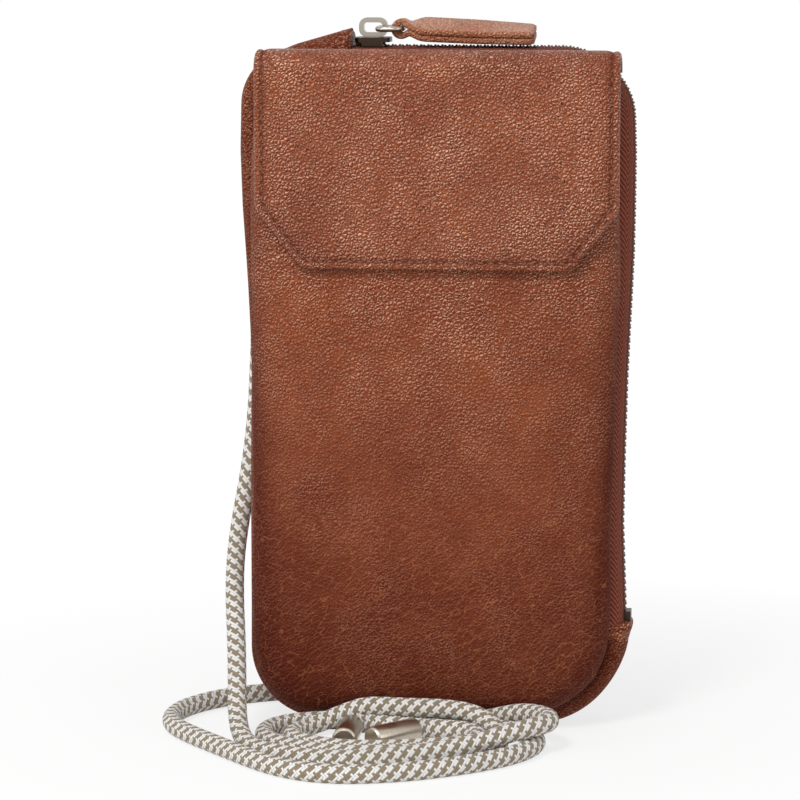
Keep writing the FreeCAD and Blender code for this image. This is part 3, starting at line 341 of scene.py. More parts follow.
def tube(name, line, radius, sides, finish, closed=False):
    """A round tube of a given radius in mm around a line of points in metres."""
    spots = np.array([tuple(spot) for spot in line])
    ahead = np.roll(spots, -1, axis=0) - np.roll(spots, 1, axis=0)
    if not closed:
        ahead[0] = spots[1] - spots[0]
        ahead[-1] = spots[-1] - spots[-2]
    ahead /= np.linalg.norm(ahead, axis=1)[:, None]
    aside = np.cross(ahead[0], (0.0, 0.0, 1.0))
    if np.linalg.norm(aside) < 0.1:
        aside = np.cross(ahead[0], (0.0, 1.0, 0.0))
    along = np.concatenate([[0.0], np.cumsum(np.linalg.norm(np.diff(spots, axis=0), axis=1))])
    turns = 2 * math.pi * np.arange(sides) / sides
    rings = []
    for spot, heading in zip(spots, ahead):
        aside = aside - heading * np.dot(aside, heading)
        aside /= np.linalg.norm(aside)
        upward = np.cross(aside, heading)
        circle = np.outer(np.cos(turns), aside) + np.outer(np.sin(turns), upward)
        rings.append(spot + radius * MM * circle)
    count = len(rings)
    faces = []
    places = []
    for ring in range(count if closed else count - 1):
        here, there = ring * sides, (ring + 1) % count * sides
        low, high = (along[min(spot, count - 1)] / (CHECK_LENGTH * MM) for spot in (ring, ring + 1))
        for side in range(sides):
            beside = (side + 1) % sides
            faces.append((here + side, there + side, there + beside, here + beside))
            left, right = side / sides, (side + 1) / sides
            places += [(left, low), (left, high), (right, high), (right, low)]
    if not closed:
        faces += [tuple(range(sides)), tuple((count - 1) * sides + side for side in reversed(range(sides)))]
        places += [(0.0, 0.0)] * (2 * sides)
    mesh = bpy.data.meshes.new(name)
    mesh.from_pydata(np.concatenate(rings).tolist(), [], faces)
    layer = mesh.uv_layers.new(name="braid")
    layer.data.foreach_set("uv", np.array(places, dtype=np.float32).ravel())
    return link_piece(name, mesh, finish)


# %% [markdown]
# Each end of the cord is glued into a small turned metal cap. A cap is a body of revolution, so its
# half profile is turned about the cap's axis: a bore for the cord, a rim, a straight barrel and a
# bevelled closed end. The metal is nickel plate brushed around the barrel, which spreads a highlight
# along the axis, and that is what an anisotropic shader does.

# %% Brushed nickel caps
brushed, tree = start_finish("brushed_nickel_plate")
spot = add(tree, "ShaderNodeTexCoord")
turned = add(tree, "ShaderNodeMapping", {0: spot.outputs["UV"], 3: (3.0, 260.0, 1.0)})
lines = add(tree, "ShaderNodeTexNoise", {0: turned.outputs[0], "Scale": 1.0, "Detail": 2.0})
gloss = add(tree, "ShaderNodeMapRange", {0: lines.outputs[0], 1: 0.3, 2: 0.7, 3: 0.26, 4: 0.4})
tone = add(tree, "ShaderNodeMix", {0: lines.outputs[0], 6: linear("a89d8e"), 7: linear("cbc2b4")}, data_type="RGBA")
scratch = add(tree, "ShaderNodeBump", {"Strength": 0.08, "Distance": 0.02 * MM, "Height": lines.outputs[0]})
metal = add(tree, "ShaderNodeBsdfPrincipled", {
    "Base Color": tone.outputs[2], "Metallic": 1.0, "Roughness": gloss.outputs[0], "Anisotropic": 0.55,
    "Normal": scratch.outputs[0],
})
add(tree, "ShaderNodeOutputMaterial", {"Surface": metal.outputs[0]})

CAP_PROFILE = (
    # distance from the open end, radius
    (9.9, 0.02), (9.9, 2.6), (0.3, 2.6), (0.0, 2.75), (0.0, 3.05), (0.2, 3.25),
    (7.5, 3.25), (14.7, 3.25), (15.05, 3.1), (15.5, 2.65), (15.5, 2.5), (15.5, 0.02),
)
CAP_SIDES = 64
CAP_BEVEL = 0.08
TURNING_UNIT = 20.0
UPRIGHT = np.array((0.0, 0.0, 1.0))
CAPS = {
    # open end, and the heading of the axis from the closed to the open end
    "left": ((-20.3, -26.7, 3.25), 90.0),
    "right": ((-3.2, -28.7, 3.25), 49.7),
}
for side, (open_end, heading) in CAPS.items():
    back = -np.array((math.cos(math.radians(heading)), math.sin(math.radians(heading)), 0.0))
    sideways = np.cross(back, UPRIGHT)
    turns = 2 * math.pi * np.arange(CAP_SIDES) / CAP_SIDES
    points = [
        np.array(open_end) + back * depth + radius * (math.cos(turn) * sideways + math.sin(turn) * UPRIGHT)
        for depth, radius in CAP_PROFILE for turn in turns
    ]
    faces = []
    places = []
    for ring in range(len(CAP_PROFILE) - 1):
        low, high = (sum(CAP_PROFILE[row]) / TURNING_UNIT for row in (ring, ring + 1))
        for side_start in range(CAP_SIDES):
            side_end = (side_start + 1) % CAP_SIDES
            faces.append((ring * CAP_SIDES + side_start, ring * CAP_SIDES + side_end,
                          (ring + 1) * CAP_SIDES + side_end, (ring + 1) * CAP_SIDES + side_start))
            first, last = side_start / CAP_SIDES, (side_start + 1) / CAP_SIDES
            places += [(first, low), (last, low), (last, high), (first, high)]
    mesh = bpy.data.meshes.new(f"cap_{side}")
    mesh.from_pydata([tuple(point * MM) for point in points], [], faces)
    layer = mesh.uv_layers.new(name="turning")
    layer.data.foreach_set("uv", np.array(places, dtype=np.float32).ravel())
    cap = link_piece(f"cap_{side}", mesh, brushed)
    edges = cap.modifiers.new("crisp_bevel", "BEVEL")
    edges.width = CAP_BEVEL * MM
    edges.segments = 2
    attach(cap, "pouch")
    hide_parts(f"cord_cap_{side}")

# %% [markdown]
# The carrying cord is one length in use, but what it does differs along its way, so it is drawn as
# three: one from each leather loop down to the floor, through the coil and into a cap, and a short
# taut one between the loops. Each is a tube of the cord's thickness along its own line.

# %% Braided cords
CORD_RADIUS = 2.5
CORD_SIDES = 28
LOOP_EXIT_LEFT = (-25 * MM, 15.3 * MM, 150 * MM)
LOOP_EXIT_RIGHT = (25 * MM, 15.3 * MM, 150 * MM)
CORDS = (
    ("cord_to_right_cap", CORD_LEFT_POINTS, LOOP_EXIT_LEFT, "right", ("cord_left", "cord_coil", "cord_tail_right")),
    ("cord_to_left_cap", CORD_RIGHT_POINTS, LOOP_EXIT_RIGHT, "left", ("cord_right", "cord_tail_left")),
)
for name, points, way_out, cap_side, stands_for in CORDS:
    line = spline_line(name, points)
    cord = tube(name, line, CORD_RADIUS, CORD_SIDES, braid)
    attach(cord, "pouch")
    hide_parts(*stands_for)

between_line = spline_line("cord_between_loops", CORD_BETWEEN_POINTS)
cord_between = tube("cord_between_loops", between_line, CORD_RADIUS, CORD_SIDES, braid)
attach(cord_between, "pouch")
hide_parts("cord_bridge")

# %% [markdown]
# The leather is a soft cognac hide with a natural grain under a satin dressing. Close up it shows
# rounded pebbles about a millimetre wide, and pores. Painted shade darkens the valleys between the
# pebbles and the pores' pits, and a painted highlight lies on each pit's lower lip and on the upper
# side of pebbles, most in some patches and hardly in others. Where the hide has been stretched over a
# form the pebbles flatten out and fine pale creases run slantwise. Makers also burnish edges and seams,
# which darkens and smooths them. All of this is drawn in real millimetres, and each mesh carries a
# value called burnish_and_shade that says how dark it is at each point, from burnish and painted shade.

# %% Grain of the hide
PEBBLE = 0.95
PORE = 1.0
# offset that finds the pebble sides and pit lips that get a painted highlight, as if lit from above
PAINTED_LIGHT_SHIFT = (-0.1, 0.0, 0.24)
IN_PLACE = (0.0, 0.0, 0.0)


def hide_grain(tree, warped):
    """Pebble tops and pore pits as two lists: as they lie, and looked up a little higher on the hide for the
    painted highlights.
    """
    tops, pits = [], []
    for shift in (IN_PLACE, PAINTED_LIGHT_SHIFT):
        moved = add(tree, "ShaderNodeVectorMath", {0: warped, 1: shift}, operation="ADD")
        borders = add(tree, "ShaderNodeTexVoronoi", {0: moved.outputs[0], "Scale": 1 / PEBBLE},
                      feature="DISTANCE_TO_EDGE")
        top = add(tree, "ShaderNodeMapRange", {0: borders.outputs["Distance"], 1: 0.0, 2: 0.26, 3: 0.0, 4: 1.0},
                  interpolation_type="SMOOTHSTEP")
        pores = add(tree, "ShaderNodeTexVoronoi", {0: moved.outputs[0], "Scale": 1 / PORE}, feature="F1")
        hole = add(tree, "ShaderNodeMapRange", {0: pores.outputs["Distance"], 1: 0.15, 2: 0.42, 3: 1.0, 4: 0.0},
                   interpolation_type="SMOOTHSTEP")
        chance = add(tree, "ShaderNodeSeparateXYZ", {0: pores.outputs["Color"]})
        deep = add(tree, "ShaderNodeMapRange", {0: chance.outputs[0], 1: 0.1, 2: 0.6, 3: 0.0, 4: 1.0})
        pit = add(tree, "ShaderNodeMath", {0: hole.outputs[0], 1: deep.outputs[0]}, operation="MULTIPLY")
        tops.append(top.outputs[0])
        pits.append(pit.outputs[0])
    return tops, pits


print("pebbles in mm:", PEBBLE, "pores in mm:", PORE)

# %% Creases of the hide
CREASE_LONG = 5.0
CREASE_SHORT = 1.3
CREASE_SLANT = math.radians(-33)
CREASE_BEND = (0.6, 0.6, 0.6)


def hide_creases(tree, place, drift, stretched):
    """Fine broken lines that run slantwise where the hide is stretched."""
    bent = add(tree, "ShaderNodeVectorMath", {0: drift, 1: CREASE_BEND, 2: place}, operation="MULTIPLY_ADD")
    slanted = add(tree, "ShaderNodeMapping", {0: bent.outputs[0], 2: (0.0, CREASE_SLANT, 0.0),
                                              3: (CREASE_LONG, CREASE_SHORT, CREASE_SHORT)}, vector_type="TEXTURE")
    net = add(tree, "ShaderNodeTexVoronoi", {0: slanted.outputs[0], "Scale": 1.0}, feature="DISTANCE_TO_EDGE")
    line = add(tree, "ShaderNodeMapRange", {0: net.outputs["Distance"], 1: 0.0, 2: 0.05, 3: 1.0, 4: 0.0})
    broken = add(tree, "ShaderNodeTexNoise", {0: place, "Scale": 0.5, "Detail": 2.0})
    some = add(tree, "ShaderNodeMapRange", {0: broken.outputs[0], 1: 0.3, 2: 0.55, 3: 0.1, 4: 1.0})
    kept = add(tree, "ShaderNodeMath", {0: line.outputs[0], 1: some.outputs[0]}, operation="MULTIPLY")
    crease = add(tree, "ShaderNodeMath", {0: kept.outputs[0], 1: stretched}, operation="MULTIPLY")
    return crease.outputs[0]


print("creases in mm:", CREASE_LONG, "by", CREASE_SHORT)

# %% [markdown]
# The finish puts these together. The body of the hide wavers between two tones in clouds, burnish
# and painted shade take it to a dark brown, and then each mark of the grain is laid over it in its own
# colour: painted shade in valleys and pits, painted highlights on pebbles and pit lips, pale creases.
# The same grain lifts the surface, so that the satin dressing breaks up into small glints.

# %% Cognac leather
CLOUD = 28.0
PATCH_WIDE, PATCH_HIGH = 11.0, 16.0
SMOOTH_FADE = 75.0
GRAIN_DRIFT = (0.9, 0.9, 0.9)
GRAIN_RELIEF, SWELL_RELIEF = 0.3, 1.2


def cognac_leather(name, smooth_below, shine=0.3, tones=("6c290c", "9c4e25")):
    """Grained leather; under the height smooth_below, in mm, pebbles fade and slanting creases show."""
    hide, tree = start_finish(name)
    spot = add(tree, "ShaderNodeTexCoord")
    millimetres = add(tree, "ShaderNodeMapping", {0: spot.outputs["Object"], 3: (1 / MM, 1 / MM, 1 / MM)})
    place = millimetres.outputs[0]
    burnish_and_shade = add(tree, "ShaderNodeAttribute", attribute_name="burnish_and_shade").outputs["Fac"]
    drift = add(tree, "ShaderNodeTexNoise", {0: place, "Scale": 0.7, "Detail": 1.0}).outputs["Color"]
    warped = add(tree, "ShaderNodeVectorMath", {0: drift, 1: GRAIN_DRIFT, 2: place}, operation="MULTIPLY_ADD")
    clouds = add(tree, "ShaderNodeTexNoise", {0: place, "Scale": 1 / CLOUD, "Detail": 5.0, "Roughness": 0.65})
    tall = add(tree, "ShaderNodeMapping", {0: place, 3: (1 / PATCH_WIDE, 1 / PATCH_WIDE, 1 / PATCH_HIGH)})
    patches = add(tree, "ShaderNodeTexNoise", {0: tall.outputs[0], "Scale": 1.0, "Detail": 2.0})
    # patches where the painted highlights on the grain show most
    painted_highlight_patches = add(tree, "ShaderNodeMapRange", {0: patches.outputs[0], 1: 0.38, 2: 0.68, 3: 0.38, 4: 0.9})

    # A pebble with a valley just above it is that pebble's upper side, and just below a pit lies the pit's lip:
    # both get a painted highlight, as if lit from above.
    tops, pits = hide_grain(tree, warped.outputs[0])
    painted_upper_side_light = add(tree, "ShaderNodeMath", {0: tops[0], 1: tops[1]}, operation="SUBTRACT", use_clamp=True)

    # How much of the grain is left: less where the hide is stretched, and less where burnish and painted shade
    # darken it.
    upward = add(tree, "ShaderNodeSeparateXYZ", {0: place})
    stretched = add(tree, "ShaderNodeMapRange", {0: upward.outputs[2], 1: smooth_below - SMOOTH_FADE,
                                                 2: smooth_below, 3: 1.0, 4: 0.0}).outputs[0]
    plain = add(tree, "ShaderNodeMath", {0: stretched, 1: -0.4, 2: 1.0}, operation="MULTIPLY_ADD")
    clear_of_burnish_and_shade = add(tree, "ShaderNodeMath", {0: burnish_and_shade, 1: -0.7, 2: 1.0}, operation="MULTIPLY_ADD")
    grain = add(tree, "ShaderNodeMath", {0: plain.outputs[0], 1: clear_of_burnish_and_shade.outputs[0]}, operation="MULTIPLY")
    # share of painted highlight: the grain that is left, inside the highlight patches
    grain_in_highlight_patches = add(tree, "ShaderNodeMath", {0: grain.outputs[0], 1: painted_highlight_patches.outputs[0]}, operation="MULTIPLY")
    wear_and_painted_highlight = add(tree, "ShaderNodeMath", {0: grain_in_highlight_patches.outputs[0], 1: plain.outputs[0]}, operation="MULTIPLY")
    crease = hide_creases(tree, place, drift, stretched)

    tone = add(tree, "ShaderNodeMapRange", {0: clouds.outputs[0], 1: 0.3, 2: 0.7, 3: 0.0, 4: 1.0})
    body = add(tree, "ShaderNodeMix", {0: tone.outputs[0], 6: linear(tones[0]), 7: linear(tones[1])},
               data_type="RGBA")
    # burnish and painted shade both take the body towards dark brown
    burnished_and_shaded = add(tree, "ShaderNodeMix", {0: burnish_and_shade, 6: body.outputs[2], 7: linear("4a1201")}, data_type="RGBA")
    colour = burnished_and_shaded.outputs[2]
    layers = (
        # a mark, its strength where it is full and where it is nought, what limits it, its colour
        # painted shade in the valleys between pebbles
        (tops[0], 0.0, 0.4, grain.outputs[0], "742f12"),
        # painted highlight on the upper side of pebbles
        (painted_upper_side_light.outputs[0], 1.35, 0.0, wear_and_painted_highlight.outputs[0], "e8b498"),
        # painted highlight on the lower lip of each pit
        (pits[1], 0.55, 0.0, wear_and_painted_highlight.outputs[0], "d8a385"),
        # painted shade in the pits of the pores
        (pits[0], 0.95, 0.0, grain.outputs[0], "581700"),
        (crease, 0.3, 0.0, stretched, "c47c50"),
    )
    for mark, full, nought, limit, code in layers:
        strength = add(tree, "ShaderNodeMath", {0: mark, 1: full - nought, 2: nought}, operation="MULTIPLY_ADD",
                       use_clamp=True)
        amount = add(tree, "ShaderNodeMath", {0: strength.outputs[0], 1: limit}, operation="MULTIPLY")
        mixed = add(tree, "ShaderNodeMix", {0: amount.outputs[0], 6: colour, 7: linear(code)}, data_type="RGBA")
        colour = mixed.outputs[2]

    swell = add(tree, "ShaderNodeBump", {"Strength": 1.0, "Distance": SWELL_RELIEF * MM,
                                         "Height": patches.outputs[0]})
    pitted = add(tree, "ShaderNodeMath", {0: pits[0], 1: -0.3, 2: tops[0]}, operation="MULTIPLY_ADD")
    height = add(tree, "ShaderNodeMath", {0: pitted.outputs[0], 1: grain.outputs[0]}, operation="MULTIPLY")
    relief = add(tree, "ShaderNodeBump", {"Strength": 1.0, "Distance": GRAIN_RELIEF * MM,
                                          "Height": height.outputs[0], "Normal": swell.outputs[0]})
    gloss = add(tree, "ShaderNodeMapRange", {0: clouds.outputs[0], 1: 0.3, 2: 0.7, 3: 0.4, 4: 0.26})
    dull = add(tree, "ShaderNodeMath", {0: burnish_and_shade, 1: 0.5, 2: gloss.outputs[0]}, operation="MULTIPLY_ADD")
    # A satin dressing over fibres: the grain breaks its sheen into glints, and where burnish and painted shade
    # darken the hide it stays dull and deep.
    dressed = add(tree, "ShaderNodeBsdfPrincipled", {
        "Base Color": colour, "Roughness": dull.outputs[0], "IOR": 1.46, "Specular IOR Level": shine,
        "Normal": relief.outputs[0],
    })
    add(tree, "ShaderNodeOutputMaterial", {"Surface": dressed.outputs[0]})
    return hide


NEVER_SMOOTH = -200.0
PANEL_SMOOTH_BELOW = 128.0
pebbled_hide = cognac_leather("cognac_leather_pebbled", NEVER_SMOOTH)
creased_hide = cognac_leather("cognac_leather_creased", PANEL_SMOOTH_BELOW, shine=0.2)
rolled_hide = cognac_leather("cognac_leather_rolled", NEVER_SMOOTH, shine=0.12)
# paler tones for the puller: painted light, standing in for the top light that falls on it
puller_lit_hide = cognac_leather("cognac_leather_painted_light", NEVER_SMOOTH, tones=("ba7048", "da9a72"))
hides = (pebbled_hide, creased_hide, rolled_hide, puller_lit_hide)
print("hides:", [hide.name for hide in hides])

# %% [markdown]
# Panel, gusset and zip all follow one outline: a rectangle with four different corner rounds. Pieces
# sewn to it need the same question answered again and again: where is the point a given length along
# this outline, and which way is outwards there? So the outline is drawn once, densely, and read by
# length from the middle of the bottom edge, going right, up, left and down again. A soft pouch never
# keeps its sides straight: it flares where the flap holds it and draws in below, by a millimetre
# or two, and a table of heights says by how much.

# %% Outline of the pouch
HALF_WIDTH = 50.75
TALL = 182.5
LOW_RIGHT, TOP_RIGHT, TOP_LEFT, LOW_LEFT = 25.0, 18.0, 14.0, 20.0
ARC_STEPS = 60
CORNERS = (
    # centre x, centre z, radius, angle where the corner starts
    (HALF_WIDTH - LOW_RIGHT, LOW_RIGHT, LOW_RIGHT, -90),
    (HALF_WIDTH - TOP_RIGHT, TALL - TOP_RIGHT, TOP_RIGHT, 0),
    (TOP_LEFT - HALF_WIDTH, TALL - TOP_LEFT, TOP_LEFT, 90),
    (LOW_LEFT - HALF_WIDTH, LOW_LEFT, LOW_LEFT, 180),
)
SIDE_GIVE = np.array((
    # height, how far the left side stands out, how far the right side does
    (-20, 0.0, 0.0), (15, -0.2, 0.1), (31, -0.3, 0.0), (55, -0.3, -0.9), (75, -0.4, -0.6), (95, -0.7, -0.1),
    (107, -0.4, 0.4), (118, 0.1, 0.9), (128, 0.7, 1.3), (140, 1.5, 1.5), (155, 2.0, 1.6), (168, 1.7, 1.2),
    (182, 0.6, 0.3), (200, 0.0, 0.0),
))
ZIP_FOOT_HEIGHT = 24.0
ZIP_HEAD_OUT = 22.5
drawn = [(0.0, 0.0, 0.0, -1.0)]
for centre_x, centre_z, radius, first in CORNERS:
    for turn in np.radians(first + np.linspace(0, 90, ARC_STEPS + 1)):
        out_x, out_z = math.cos(turn), math.sin(turn)
        drawn.append((centre_x + radius * out_x, centre_z + radius * out_z, out_x, out_z))
drawn.append(drawn[0])
drawn = np.array(drawn)
drawn_length = np.concatenate([[0.0], np.cumsum(np.hypot(*np.diff(drawn[:, :2], axis=0).T))])
OUTLINE_LENGTH = drawn_length[-1]
ZIP_FOOT = HALF_WIDTH - LOW_RIGHT + LOW_RIGHT * math.acos(1 - ZIP_FOOT_HEIGHT / LOW_RIGHT)
ZIP_HEAD = drawn_length[1 + 2 * (ARC_STEPS + 1)] - (HALF_WIDTH - TOP_LEFT - ZIP_HEAD_OUT)


def settle(points):
    """Let points in mm follow the flare and the waist of the pouch's sides."""
    points = np.array(points, dtype=float)
    aside = np.clip(points[..., 0] / HALF_WIDTH, -1, 1)
    left, right = (np.interp(points[..., 2], SIDE_GIVE[:, 0], SIDE_GIVE[:, column]) for column in (1, 2))
    points[..., 0] += np.where(aside < 0, aside * left, aside * right)
    return points


def outline(lengths, inset, depth):
    """Settled points in mm at some lengths along the outline, moved in by inset, on y = depth."""
    wrapped = np.mod(lengths, OUTLINE_LENGTH)
    x, z, out_x, out_z = (np.interp(wrapped, drawn_length, drawn[:, column]) for column in range(4))
    return settle(np.stack([x - inset * out_x, np.broadcast_to(depth, x.shape), z - inset * out_z], axis=1))


BAND_FLAT, BAND_ROUND = 4.0, 5.0


def band_inset(depth):
    """How far the rounded gusset lies inside the outline at a given y."""
    past = max(abs(depth) - BAND_FLAT, 0.0)
    return BAND_ROUND - math.sqrt(BAND_ROUND ** 2 - past * past)


print("outline in mm:", round(OUTLINE_LENGTH, 1), "zip from", round(ZIP_FOOT, 1), "to", round(ZIP_HEAD, 1))

# %% [markdown]
# Sewn pieces are mostly sheets, and a sheet is a grid of points: rows across, columns along. One
# helper turns points and faces into a piece with its values of burnish and painted shade, one makes
# the grid, one closes a grid to a rod, one gives a sheet its thickness, and one dresses it: which part
# of the pouch it moves with and which solids it stands for. A last one is for shading from one place
# to another.

# %% Sheets from rows of points
def sheet_piece(name, points, faces, finish, burnish_and_shade=None, places=None):
    """A piece from points in mm; burnish_and_shade is per point, places are UV coordinates per point."""
    mesh = bpy.data.meshes.new(name)
    spots = np.asarray(points, dtype=float) * MM
    mesh.from_pydata(spots.tolist(), [], [tuple(map(int, face)) for face in faces])
    if burnish_and_shade is not None:
        layer = mesh.attributes.new("burnish_and_shade", "FLOAT", "POINT")
        layer.data.foreach_set("value", np.asarray(burnish_and_shade, dtype=np.float32).ravel())
    if places is not None:
        corners = np.asarray(places, dtype=np.float32)[[corner for face in faces for corner in face]]
        mesh.uv_layers.new(name="weave").data.foreach_set("uv", corners.ravel())
    return link_piece(name, mesh, finish)


def grid_faces(count, width, closed=False):
    """Faces between the rows of a grid; closed joins each row's end to its start."""
    return [
        (row * width + spot, row * width + (spot + 1) % width,
         (row + 1) * width + (spot + 1) % width, (row + 1) * width + spot)
        for row in range(count - 1) for spot in range(width if closed else width - 1)
    ]


def rod_faces(count, width, base=0):
    """Faces of a rod of closed rows with both ends shut; base is the number of its first point."""
    faces = grid_faces(count, width, closed=True)
    faces += [tuple(reversed(range(width))), tuple(range((count - 1) * width, count * width))]
    return [tuple(base + corner for corner in face) for face in faces]


def thicken(piece, thickness):
    """Give a sheet a thickness in mm, inwards from its outer face."""
    wall = piece.modifiers.new("thickness", "SOLIDIFY")
    wall.thickness = thickness * MM
    wall.offset = -1


def dress(piece, body, slot, *stands_for):
    """Say what a piece moves with and which solids it stands for; slot is not used."""
    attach(piece, body)
    if stands_for:
        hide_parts(*stands_for)


def fade(value, start, end):
    """0 at start, 1 at end and even in between."""
    return np.clip((value - start) / (end - start), 0, 1)


print("shading half way:", fade(5.0, 0.0, 10.0))

# %% [markdown]
# The gusset is the strip of leather between front and back, sewn to both and rolled outwards by the
# seams, so that its cross-section is almost a half circle. It starts at the left end of the zip and
# runs down the left side and under the pouch to the lower end of the zip on the right. Its upper end
# is hemmed over the zip tape, which lifts the leather like a low roof, and it swells a little at its
# lower end. The strip is darker all over and most at its rolled edges, partly from burnish of the
# edges and partly as painted shade on this side strip, and painted shade darkens it towards the bottom.

# %% Gusset
GUSSET_DEPTHS = (9.0, 8.7, 8.0, 7.0, 5.8, 4.4, 2.4, 0.0, -2.4, -4.4, -5.8, -7.0, -8.0, -8.7, -9.0)
GUSSET_HALF = 9.0
GUSSET_HEM = 0.6
GUSSET_THICK = 1.3
ROOF_START = -40.5
ROOF_SLOPE = 0.29
ROOF_HALF = 9.6
SWELLING_HIGH, SWELLING_LONG = 1.3, 9.0
GUSSET_LOW = 45
gusset_run = np.linspace(ZIP_HEAD + GUSSET_HEM, OUTLINE_LENGTH + ZIP_FOOT + GUSSET_HEM, 220)
gusset_rows = np.array([outline(gusset_run, band_inset(depth), depth) for depth in GUSSET_DEPTHS])
across = 1 - (np.abs(gusset_rows[:, :, 1]) / ROOF_HALF) ** 3
lift = ROOF_SLOPE * np.maximum(gusset_rows[:, :, 0] - ROOF_START, 0) * across
gusset_rows[:, :, 2] += np.where(gusset_rows[:, :, 2] > TALL / 2, lift, 0)
swelling = SWELLING_HIGH * np.exp(-((gusset_run - OUTLINE_LENGTH - ZIP_FOOT) / SWELLING_LONG) ** 2)
gusset_rows[:, :, 0] += swelling * across
# darker all over, most at the rolled edges: edge burnish and painted shade; more painted shade towards the bottom
gusset_burnish_and_shade = 0.6 + 0.3 * (np.abs(gusset_rows[:, :, 1]) / GUSSET_HALF) ** 3
gusset_burnish_and_shade += 0.1 * fade(gusset_rows[:, :, 2], GUSSET_LOW, 0)
gusset = sheet_piece("gusset_leather", gusset_rows.reshape(-1, 3), grid_faces(*gusset_rows.shape[:2]),
                     rolled_hide, np.clip(gusset_burnish_and_shade, 0, 1))
thicken(gusset, GUSSET_THICK)
dress(gusset, "pouch", "leather", "side_gusset")
print("gusset strip in mm:", round(gusset_run[-1] - gusset_run[0]))

# %% [markdown]
# Panels are drawn as rings that follow the outline inwards along a profile, closed in the middle by a
# four-sided patch. A patch takes its four edges and blends between them, so it has no pole where
# the light would catch. The front panel, the back, the divider and the linings are all made this way.

# %% Panels from rings and a patch
LONG_STEPS = 84
SHORT_STEPS = 44
corner_middles = [drawn_length[1 + corner * (ARC_STEPS + 1) + ARC_STEPS // 2] for corner in range(4)]
ring_stops = [corner_middles[3] - OUTLINE_LENGTH] + corner_middles
RING_STEPS = (SHORT_STEPS, LONG_STEPS, SHORT_STEPS, LONG_STEPS)
PANEL_RUN = np.concatenate([
    np.linspace(start, end, steps, endpoint=False)
    for start, end, steps in zip(ring_stops, ring_stops[1:], RING_STEPS)
])
WANDER_ENDS, WANDER_FULL = 12, 4


def patch_points(left, right, bottom, top):
    """Points of a four-sided patch between edges that share their ends; rows go from bottom to top."""
    over = np.linspace(0, 1, len(bottom))[None, :, None]
    up = np.linspace(0, 1, len(left))[:, None, None]
    flat = (1 - up) * ((1 - over) * bottom[0] + over * bottom[-1]) + up * ((1 - over) * top[0] + over * top[-1])
    return (1 - up) * bottom[None] + up * top[None] + (1 - over) * left[:, None] + over * right[:, None] - flat


def panel_sheet(name, profile, finish, crown, facing_back=False, wander=0.0):
    """A panel from (inset, y, burnish_and_shade) rings, its middle raised by crown mm; wander moves its edge in."""
    rings = np.array([
        outline(PANEL_RUN, inset + wander * fade(inset, WANDER_ENDS, WANDER_FULL), depth)
        for inset, depth, _ in profile
    ])
    count, width = rings.shape[:2]
    points = list(rings.reshape(-1, 3))
    burnish_and_shade = [dark for _, _, dark in profile for _ in range(width)]
    faces = grid_faces(count, width, closed=True)
    last = (count - 1) * width
    bottom = last + np.arange(SHORT_STEPS + 1)
    right = last + SHORT_STEPS + np.arange(LONG_STEPS + 1)
    top = last + SHORT_STEPS * 2 + LONG_STEPS - np.arange(SHORT_STEPS + 1)
    left = last + (width - np.arange(LONG_STEPS + 1)) % width
    spots = np.array(points)
    patch = patch_points(spots[left], spots[right], spots[bottom], spots[top])
    index = np.zeros(patch.shape[:2], dtype=int)
    index[:, 0], index[:, -1], index[0], index[-1] = left, right, bottom, top
    for row in range(1, LONG_STEPS):
        for column in range(1, SHORT_STEPS):
            swell = math.sin(math.pi * row / LONG_STEPS) * math.sin(math.pi * column / SHORT_STEPS)
            index[row, column] = len(points)
            points.append(patch[row, column] + np.array((0, crown * swell ** 0.5, 0)))
            burnish_and_shade.append(profile[-1][2])
    for row in range(LONG_STEPS):
        faces += [(index[row, k], index[row, k + 1], index[row + 1, k + 1], index[row + 1, k])
                  for k in range(SHORT_STEPS)]
    piece = sheet_piece(name, points, faces, finish, burnish_and_shade)
    if facing_back:
        piece.data.flip_normals()
    return piece


def cut_above(piece, height):
    """Cut a sheet off level at a height in mm."""
    cutting = bmesh.new()
    cutting.from_mesh(piece.data)
    everything = cutting.verts[:] + cutting.edges[:] + cutting.faces[:]
    bmesh.ops.bisect_plane(cutting, geom=everything, plane_co=(0, 0, height * MM), plane_no=(0, 0, 1),
                           clear_outer=True)
    cutting.to_mesh(piece.data)
    cutting.free()


print("points on a ring:", len(PANEL_RUN))

# %% [markdown]
# The front pocket is a padded panel: leather over foam, sewn face down to the gusset and turned, so
# that it swells up from the seam like a cushion. The seam runs close to the edge of the pouch on
# both sides and further in below, most at the lower right corner. The top is cut away at the
# pocket's mouth, which the flap covers. The rounded edge by the seam is darker, partly burnish and
# partly painted shade, and painted shade darkens the leather towards the bottom and, lower down,
# towards both sides.

# %% Front pocket panel
PANEL_PROFILE = (
    # inset from the outline, y, burnish and painted shade
    (5.0, -9.0, 1.0), (3.6, -9.1, 1.0), (2.5, -9.5, 1.0), (2.0, -10.1, 0.9), (1.9, -10.8, 0.75),
    (2.05, -11.7, 0.6), (2.45, -12.8, 0.5), (3.15, -13.9, 0.42), (4.2, -15.0, 0.32), (5.7, -15.9, 0.2),
    (7.6, -16.6, 0.1), (10.0, -17.05, 0.02), (12.8, -17.3, 0.0),
)
SEAM_WANDER = (
    # share of the way round from the lower left corner, how far the seam lies further in
    (0.0, 0.6), (0.03, 1.6), (0.12, 2.0), (0.165, 3.0), (0.19, 2.6), (0.23, 0.9), (0.3, 0.1), (0.39, 0.2),
    (0.43, 1.3), (0.465, 2.7), (0.68, 2.9), (0.7, 2.7), (0.74, 1.3), (0.78, 0.1), (0.85, -0.3), (0.95, -0.2),
    (1.0, 0.6),
)
ring_share = (PANEL_RUN - PANEL_RUN[0]) / OUTLINE_LENGTH
seam_wander = np.interp(ring_share, *np.transpose(SEAM_WANDER))
